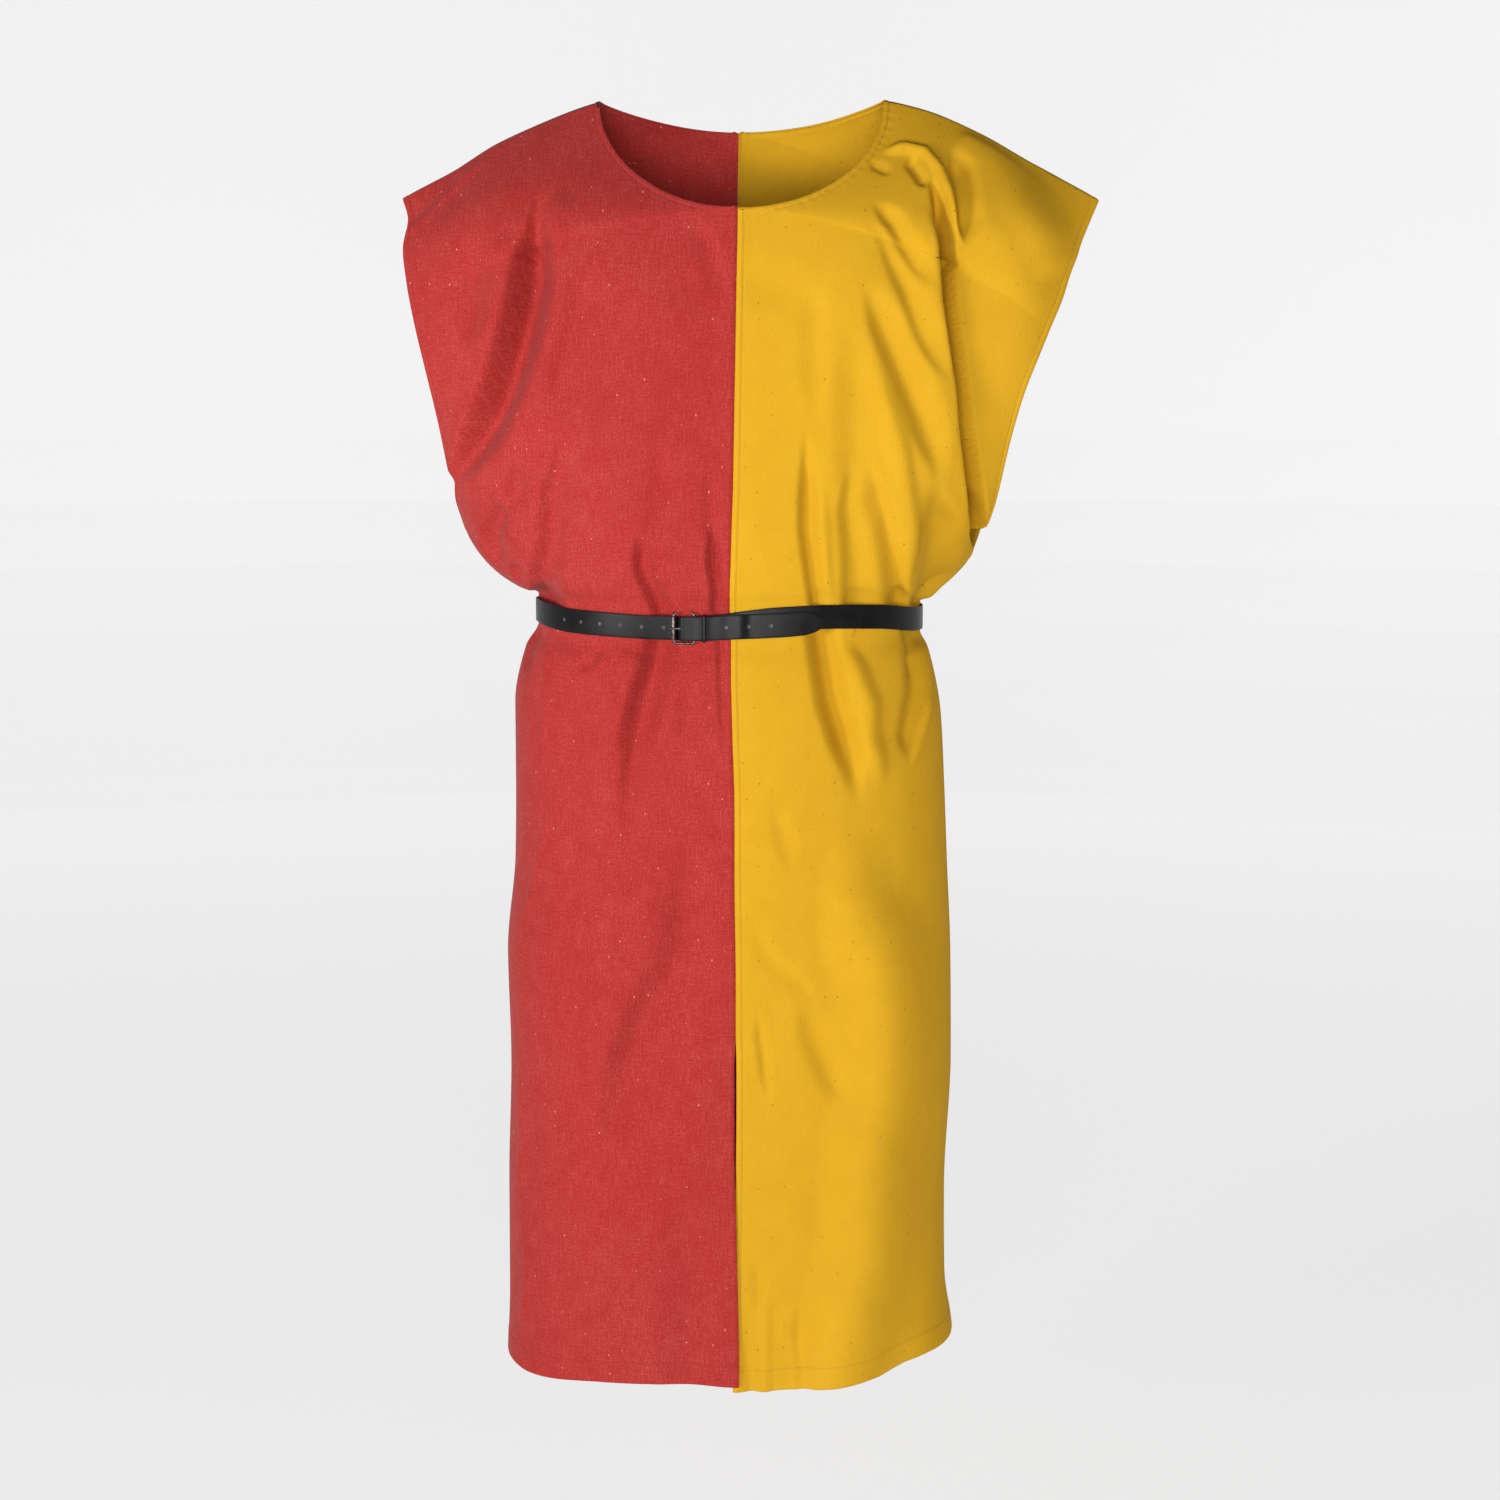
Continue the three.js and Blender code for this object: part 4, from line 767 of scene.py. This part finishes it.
def follow(rows, start, end, step):
    """Points of the strap's middle line, from rows of (round the waist, out from it, height)."""
    rows = np.array(rows, float)
    sign = 1 if rows[1, 0] > rows[0, 0] else -1
    away, height = curve(rows[:, 0] * sign, rows[:, 1]), curve(rows[:, 0] * sign, rows[:, 2])
    at = np.linspace(start, end, max(2, round(abs(end - start) / step) + 1))
    return [[*waist(s, away(s * sign)), float(height(s * sign))] for s in at]


fixed_end = [(3, OVER, -444.5), (-4, OVER, -445.5), (-13, OVER + 1.0, -446.5),
             (-20, OVER + 1.8, -447), (-26, OVER + 3.0, -447.5), (-30, OVER + 3.8, -447.5)]
round_waist = [(-30, 2.45, -447.5), (-20, 2.45, -447), (-10, 1.6, -446), (0, UNDER, -444.5),
               (41, UNDER, -440), (80, UNDER, -438.8), (130, UNDER, -440.5),
               (185, UNDER, -446), (230, UNDER, -447), (420, UNDER, -445)]
tail = [(-250, UNDER, -441), (-215, UNDER, -439.5), (-185, UNDER, -441.5),
        (-150, UNDER, -444.5), (-110, UNDER, -446), (-62, UNDER, -447.5), (-57, UNDER, -447.5),
        (-53, UNDER - 0.1, -447.5), (-50.4, 1.9, -447.5), (-48.9, 3.1, -447.5),
        (-46.6, 6.8, -447.5), (-45, 8.6, -447.5), (-42, 9.3, -447.5), (-34, 9.3, -447.5),
        (-30, 9.0, -447.5), (-26, 8.3, -447.5), (-20, 7.0, -447.3), (-13, 6.2, -447),
        (-4, 5.3, -446.6), (4, 5.2, -446.2), (14, OVER, -446), (41, OVER, -445),
        (60, OVER, -443.8), (77, OVER, -442.8)]
whole = round_waist + [(s + GIRTH, away, z) for s, away, z in tail]
course = follow(fixed_end, 3, -30, 1.6)
turn_radius = BAR + 0.3 + LEATHER / 2
for degrees in range(150, -151, -15):
    angle = math.radians(degrees)
    spot = waist(HEEL_AT - turn_radius * math.cos(angle * 0.6),
                 BUCKLE_OUT + turn_radius * math.sin(angle * 0.6))
    course.append([*spot, BUCKLE_Z])
course += follow(whole, -30, 200, 3.5)
for start, end, step in [(200, GIRTH - 210, 6), (GIRTH - 210, GIRTH - 62, 3),
                         (GIRTH - 62, GIRTH - 20, 0.8), (GIRTH - 20, GIRTH + 77, 2)]:
    course += follow(whole, start, end, step)[1:]
course = np.array(course)
course_run = run_along(course)
length = course_run[-1]

# Half of the strap's cross section, from the lower edge up its outer face: height as a part of
# the half width, and how far out. The face is a little crowned and the edges are rounded.
face_profile = [(-1.0, 0.35), (-0.985, 0.62), (-0.95, 0.78), (-0.85, 0.86), (-0.5, 0.93),
                (0.0, 0.95), (0.5, 0.93), (0.85, 0.86), (0.95, 0.78), (0.985, 0.62), (1.0, 0.35)]
section = face_profile + [(h, -o) for h, o in reversed(face_profile)]
rings = []
for i, point in enumerate(course):
    after, before = course[min(i + 1, len(course) - 1)], course[max(i - 1, 0)]
    along = (after - before)[:2] / np.linalg.norm((after - before)[:2])
    outward = np.array([along[1], -along[0], 0.0])
    rest = length - course_run[i]
    half = BELT_HALF
    if rest < POINT:
        half *= 0.12 + 0.88 * math.sqrt(1 - (1 - rest / POINT) ** 2)
    half += 0.12 * math.sin(course_run[i] / 31.0) * min(1, rest / 60)
    rings.append([point + outward * o * LEATHER / 2 + np.array([0, 0, h * half])
                  for h, o in section])
points = np.array(rings).reshape(-1, 3) * 0.001
n, count = len(section), len(rings)
faces, edge_face = [], []
for r in range(count - 1):
    for i in range(n):
        j = (i + 1) % n
        faces.append((r * n + i, (r + 1) * n + i, (r + 1) * n + j, r * n + j))
        edge_face.append(i in (0, 9, 10, 11, 20, 21))
for start, flip in ((0, False), ((count - 1) * n, True)):
    for i in range(n // 2 - 1):
        quad = (start + i, start + i + 1, start + n - 2 - i, start + n - 1 - i)
        faces.append(quad[::-1] if flip else quad)
        edge_face.append(True)
mesh = bpy.data.meshes.new("belt_strap_leather")
mesh.from_pydata(points.tolist(), [], faces)
mesh.polygons.foreach_set("material_index", [int(e) for e in edge_face])
strap = bpy.data.objects.new("belt_strap_leather", mesh)
bpy.context.scene.collection.objects.link(strap)


def take(*pieces):
    """Selects only these pieces and works on the first of them."""
    bpy.ops.object.select_all(action="DESELECT")
    for piece in pieces:
        piece.select_set(True)
    bpy.context.view_layer.objects.active = pieces[0]


def face_outward():
    """Turns the open piece's faces outward and leaves edit mode."""
    bpy.ops.mesh.select_all(action="SELECT")
    bpy.ops.mesh.normals_make_consistent(inside=False)
    bpy.ops.object.mode_set(mode="OBJECT")


take(strap)
bpy.ops.object.mode_set(mode="EDIT")
face_outward()


def leather(name, dark, worn, roughness, grain):
    """Dyed leather with a fine pebbled grain, dull and bright patches, and a few scuffs."""
    hide = Finish(name)
    place = hide.add("TexCoord", {}, "Object")
    patches = hide.add("TexNoise", {"Vector": place, "Scale": 60, "Detail": 4}, "Fac")
    creases = hide.add("TexNoise", {"Vector": place, "Scale": 260, "Detail": 5}, "Fac")
    pebbles = hide.add("TexVoronoi", {"Vector": place, "Scale": 1500}, "Distance",
                       feature="SMOOTH_F1")
    wear = hide.add("MapRange", {"Value": patches, "To Min": roughness - 0.1,
                                 "To Max": roughness + 0.14})
    bump = hide.add("Bump", {"Height": hide.math("ADD", pebbles, creases), "Strength": grain,
                             "Distance": 0.0002})
    return hide.shader(Base_Color=hide.shades(patches, (0.4, dark), (0.75, worn)), Normal=bump,
                       Roughness=wear, Specular_IOR_Level=0.15)


black_leather = leather("black bridle leather", (0.002, 0.002, 0.003), (0.007, 0.006, 0.008),
                        0.38, 0.12)
cut_edge = leather("burnished cut edge", (0.016, 0.010, 0.009), (0.05, 0.028, 0.022), 0.5, 0.5)
strap.data.materials.append(black_leather)
strap.data.materials.append(cut_edge)
# Walls of the punched holes: pale grey rather than the leather's own colour, so that each hole
# shows a painted glint on the black strap.
hole_wall_painted_glint = leather("punched hole wall with a painted glint", (0.10, 0.09, 0.10), (0.26, 0.24, 0.26), 0.4, 0.2)


def buckle_place():
    """Matrix from the buckle's own axes (x along the belt, -y outwards) to the waist."""
    start, end = waist(ROLLER_AT, 0), waist(HEEL_AT, 0)
    along = (end - start) / np.linalg.norm(end - start)
    place = Matrix.Identity(4)
    place[0][0], place[1][0] = along[0], along[1]
    place[0][1], place[1][1] = -along[1], along[0]
    place.translation = Vector((*start, BUCKLE_Z)) * 0.001
    return place


at_roller = buckle_place()


def at_buckle(s, away, z=0.0):
    """A point s round the waist and so far out from it, in metres."""
    return at_roller @ (Vector((s - ROLLER_AT, -away, z)) * 0.001)


def punch(centre, outward, radius, reach):
    """A tapered punch: it leaves a hole that widens towards the belt's outer face."""
    bpy.ops.mesh.primitive_cone_add(vertices=18, radius1=radius[0] * 0.001,
                                    radius2=radius[1] * 0.001, depth=0.002 * reach)
    tool = bpy.context.object
    # The tool's pale material passes to the hole walls, where it paints a glint.
    tool.data.materials.append(hole_wall_painted_glint)
    tool.data.transform(Vector(outward).to_track_quat("Z", "Y").to_matrix().to_4x4())
    tool.data.transform(Matrix.Translation(centre))
    return tool


crossing = next(i for i, p in enumerate(course)
                if course_run[i] > length - 160 and p[0] > at_buckle(PRONG_AT, 0)[0] * 1000)
first_hole = length - course_run[crossing]
punches = []
for k in range(-4, 7):
    if k == 0:
        continue
    at = length - first_hole - k * HOLE_STEP
    i = int(np.searchsorted(course_run, at))
    t = (at - course_run[i - 1]) / (course_run[i] - course_run[i - 1])
    centre = course[i - 1] * (1 - t) + course[i] * t
    along = (course[i] - course[i - 1])[:2] / np.linalg.norm((course[i] - course[i - 1])[:2])
    punches.append(punch(Vector(centre) * 0.001, (along[1], -along[0], 0), (0.35, 1.8), 1.1))
through = at_buckle(1, -0.065) - at_buckle(0, 0)
punches.append(punch(at_buckle(PRONG_AT, PIN_OUT - 0.4), through, (1.5, 1.5), 3.4))
bpy.ops.mesh.primitive_cube_add(size=0.001)
slot_punch = bpy.context.object
slot_punch.data.transform(Matrix.Diagonal((13, 7.9, 5.4, 1)))
slot_punch.data.transform(Matrix.Translation((0.001 * (HEEL_AT - ROLLER_AT), -0.0042, 0)))
slot_punch.data.transform(at_roller)
punches.append(slot_punch)
take(*punches)
bpy.ops.object.join()
punches = bpy.context.object
take(strap)
cut = strap.modifiers.new("punched holes", "BOOLEAN")
cut.object, cut.operation, cut.solver = punches, "DIFFERENCE", "EXACT"
cut.material_mode = "TRANSFER"
bpy.ops.object.modifier_apply(modifier="punched holes")
bpy.data.objects.remove(punches)
bpy.ops.object.shade_smooth_by_angle(angle=math.radians(35))
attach(strap, "root")
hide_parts("belt_strap")

# Keeper: a narrow loop of the same leather round all layers of the belt, next to the buckle.
# It is cut as a strip, skived thin, and closed at the back.
bpy.ops.mesh.primitive_cube_add(size=0.001)
keeper = bpy.context.object
keeper.name = "belt_keeper_loop"
keeper.data.transform(Matrix.Diagonal((3.8, 10.2, 23.8, 1)))


def pick(piece, kind, test):
    """Selects the faces or edges whose middle and direction pass the test."""
    bpy.ops.object.mode_set(mode="OBJECT")
    mesh = piece.data
    for group in (mesh.vertices, mesh.edges, mesh.polygons):
        group.foreach_set("select", [False] * len(group))
    if kind == "FACE":
        for face in mesh.polygons:
            face.select = test(face.center, face.normal)
    else:
        for edge in mesh.edges:
            a, b = (mesh.vertices[i].co for i in edge.vertices)
            edge.select = test((a + b) / 2, (b - a).normalized())
    bpy.ops.object.mode_set(mode="EDIT")
    bpy.ops.mesh.select_mode(type=kind)


def ease(piece, width, above):
    """Rounds the edges that turn by more than an angle in degrees, and smooths the rest."""
    edge = piece.modifiers.new("eased edges", "BEVEL")
    edge.width, edge.segments, edge.limit_method = width, 2, "ANGLE"
    edge.angle_limit = math.radians(above)
    bpy.ops.object.modifier_apply(modifier="eased edges")
    bpy.ops.object.shade_smooth_by_angle(angle=math.radians(40))


pick(keeper, "EDGE", lambda middle, way: abs(way.x) > 0.9)
bpy.ops.mesh.bevel(offset=0.0016, segments=5, affect="EDGES")
pick(keeper, "FACE", lambda middle, normal: abs(normal.x) > 0.9)
bpy.ops.mesh.inset(thickness=0.0009)
bpy.ops.mesh.bridge_edge_loops()
face_outward()
ease(keeper, 0.0003, 30)
spot = Vector((*waist(KEEPER_AT, 5.5), BUCKLE_Z)) * 0.001
ahead = waist(KEEPER_AT + 4, 5.5) - waist(KEEPER_AT - 4, 5.5)
keeper.data.transform(Matrix.Rotation(math.atan2(ahead[1], ahead[0]), 4, "Z"))
keeper.data.transform(Matrix.Translation(spot))
keeper.data.materials.append(black_leather)
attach(keeper, "root")
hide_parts("belt_keeper")

# Buckle frame: one round steel bar bent into a rectangle with rounded corners, closed at a weld.
# Its heel bar holds the strap and the prong, and its outer bar carries the roller.
metal = Finish("dark burnished steel")
tarnish = metal.add("TexNoise", {"Vector": metal.add("TexCoord", {}, "Object"), "Scale": 420,
                                 "Detail": 5}, "Fac")
steel = metal.shader(
    Base_Color=metal.shades(tarnish, (0.35, (0.035, 0.03, 0.028)), (0.7, (0.17, 0.14, 0.125))),
    Roughness=metal.add("MapRange", {"Value": tarnish, "To Min": 0.22, "To Max": 0.5}),
    Metallic=1.0)

LONG, HIGH, CORNER = 0.001 * (HEEL_AT - ROLLER_AT), 0.0131, 0.0026
bpy.ops.mesh.primitive_circle_add(vertices=20, radius=0.001 * BAR, fill_type="NOTHING")
bar = bpy.context.object
bar.name = "buckle_frame_bar"
bar.data.transform(Matrix.Rotation(math.pi / 2, 4, "Y"))
bar.data.transform(Matrix.Translation((CORNER, -0.001 * BUCKLE_OUT, HIGH)))
bpy.ops.object.mode_set(mode="EDIT")
bpy.ops.mesh.select_all(action="SELECT")
run_x, run_z = LONG - 2 * CORNER, 2 * (HIGH - CORNER)
for step, centre in [((run_x, 0, 0), (LONG - CORNER, HIGH - CORNER)),
                     ((0, 0, -run_z), (LONG - CORNER, CORNER - HIGH)),
                     ((-run_x, 0, 0), (CORNER, CORNER - HIGH)),
                     ((0, 0, run_z), (CORNER, HIGH - CORNER))]:
    for _ in range(4):
        bpy.ops.mesh.extrude_region_move()
        bpy.ops.transform.translate(value=tuple(part / 4 for part in step))
    bpy.ops.mesh.spin(steps=8, angle=-math.pi / 2, axis=(0, 1, 0),
                      center=(centre[0], -0.001 * BUCKLE_OUT, centre[1]))
bpy.ops.mesh.select_all(action="SELECT")
bpy.ops.mesh.remove_doubles(threshold=0.00002)
face_outward()
bar.data.shade_smooth()
bar.data.transform(at_roller)
bar.data.materials.append(steel)
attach(bar, "root")
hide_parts("buckle_frame")

# Roller: a short tube rolled from sheet steel, with eased rims. It turns on the frame's outer
# bar, so that the belt slides over it when it is pulled tight.


def tube(name, radius, bore, long, place, sides):
    """An upright steel tube with eased rims."""
    bpy.ops.mesh.primitive_cylinder_add(vertices=sides, radius=radius, depth=long)
    piece = bpy.context.object
    piece.name = name
    pick(piece, "FACE", lambda middle, normal: abs(normal.z) > 0.9)
    bpy.ops.mesh.inset(thickness=radius - bore)
    bpy.ops.mesh.bridge_edge_loops()
    face_outward()
    ease(piece, 0.0002, 50)
    piece.data.transform(Matrix.Translation(place))
    return piece


roller = tube("buckle_roller_tube", 0.001 * ROLLER, 0.001 * (BAR + 0.3), 0.0198,
              (0, -0.001 * BUCKLE_OUT, 0), 28)
roller.data.transform(at_roller)
roller.data.materials.append(steel)
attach(roller, "root")
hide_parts("buckle_roller")

# Prong: a steel pin bent into an eye round the heel bar. It comes up through a hole of the belt
# and rests with its tip on the roller.
prong = tube("buckle_prong_pin", 0.001 * (BAR + 1.6), 0.001 * (BAR + 0.3), 0.0038,
             (LONG, -0.001 * BUCKLE_OUT, 0), 24)
bpy.ops.mesh.primitive_circle_add(vertices=14, radius=0.001 * PIN, fill_type="NGON")
pin = bpy.context.object
pin.data.transform(Matrix.Rotation(math.pi / 2, 4, "Y"))
pin_path = [(HEEL_AT - 1.9, BUCKLE_OUT + 1.6), (HEEL_AT - 5, BUCKLE_OUT + 2.3),
            (PRONG_AT + 5, PIN_OUT - 0.9), (PRONG_AT + 2, PIN_OUT - 0.5),
            (ROLLER_AT + 2.5, PIN_OUT - 0.06), (ROLLER_AT, PIN_OUT),
            (ROLLER_AT - 1.6, PIN_OUT - 0.25), (ROLLER_AT - 2.6, PIN_OUT - 0.5),
            (ROLLER_AT - 3.2, PIN_OUT - 0.85)]
pin_path = [((s - ROLLER_AT) * 0.001, -away * 0.001) for s, away in pin_path]
pin.data.transform(Matrix.Translation((*pin_path[0], 0)))
bpy.ops.object.mode_set(mode="EDIT")
bpy.ops.mesh.select_all(action="SELECT")
for (ax, ay), (bx, by), shrink in zip(pin_path[:-1], pin_path[1:],
                                      [1, 1, 1, 1, 1, 0.93, 0.82, 0.5]):
    bpy.ops.mesh.extrude_region_move()
    bpy.ops.transform.translate(value=(bx - ax, by - ay, 0))
    bpy.ops.transform.resize(value=(1, shrink, shrink), center_override=(bx, by, 0))
face_outward()
bpy.ops.object.shade_smooth_by_angle(angle=math.radians(50))
take(prong, pin)
bpy.ops.object.join()
prong.data.transform(at_roller)
prong.data.materials.clear()
prong.data.materials.append(steel)
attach(prong, "root")
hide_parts("buckle_prong")

# Floor: a plain pale studio sweep that turns up all round, far below and behind the garment.
# It is no lamp, but its painted glow, less and warmer in front, lights the cloth softly from all
# sides.
bpy.ops.mesh.primitive_circle_add(vertices=96, radius=4.6, fill_type="NGON", location=(0, 0, -1.36))
sweep = bpy.context.object
sweep.name = "studio_sweep"
bpy.ops.object.mode_set(mode="EDIT")
for turn in range(8):
    angle = math.radians(11.25 * (turn + 0.5))
    bpy.ops.mesh.extrude_region_move()
    grow = 1 + 0.18 * math.cos(angle) / (4.6 + 0.18 * turn)
    bpy.ops.transform.resize(value=(grow, grow, 1))
    bpy.ops.transform.translate(value=(0, 0, 0.18 * math.sin(angle)))
bpy.ops.mesh.extrude_region_move()
bpy.ops.transform.translate(value=(0, 0, 3.2))
bpy.ops.mesh.delete(type="ONLY_FACE")
bpy.ops.object.mode_set(mode="OBJECT")
bpy.ops.object.transform_apply(location=True, rotation=True, scale=True)
glowing_paper = Finish("glowing studio sweep")
depth_of_room = glowing_paper.add("SeparateXYZ", {"Vector": glowing_paper.add("TexCoord", {}, "Object")}, "Y")
towards_back = glowing_paper.add("MapRange", {"Value": depth_of_room, "From Min": -1.6, "From Max": -0.1})
glow = glowing_paper.shades(towards_back, (0, (0.34, 0.32, 0.295)), (1, (0.64, 0.64, 0.64)),
                    interpolation="EASE")
sweep.data.materials.append(glowing_paper.shader(
    Base_Color=(0.35, 0.35, 0.35, 1), Roughness=0.9, Emission_Strength=1.0, Emission_Color=glow))

# Light: a soft key from the front left and a larger, slightly stronger lamp straight ahead,
# both below the neck opening so that the inside behind it stays dim, and pale air.
scene = bpy.context.scene
scene.view_settings.view_transform = "Standard"
world = bpy.data.worlds.new("studio air")
world.use_nodes = True
world.node_tree.nodes["Background"].inputs["Color"].default_value = (1.0, 1.0, 1.0, 1)
world.node_tree.nodes["Background"].inputs["Strength"].default_value = 0.1
scene.world = world


def softbox(name, place, aim, size, power):
    """A round diffused lamp that looks at a point."""
    bpy.ops.object.light_add(type="AREA", location=place)
    lamp = bpy.context.object
    lamp.name = name
    lamp.data.shape = "DISK"
    lamp.data.size = size
    lamp.data.energy = power
    lamp.data.spread = math.radians(110)
    lamp.rotation_euler = (Vector(aim) - Vector(place)).to_track_quat("-Z", "Y").to_euler()


softbox("key_light", (-2.6, -2.7, -0.35), (0, 0, 0.1), 0.9, 28)
softbox("front_light", (-0.1, -3.4, -0.5), (0, 0, 0.1), 1.4, 34)

bpy.context.view_layer.update()
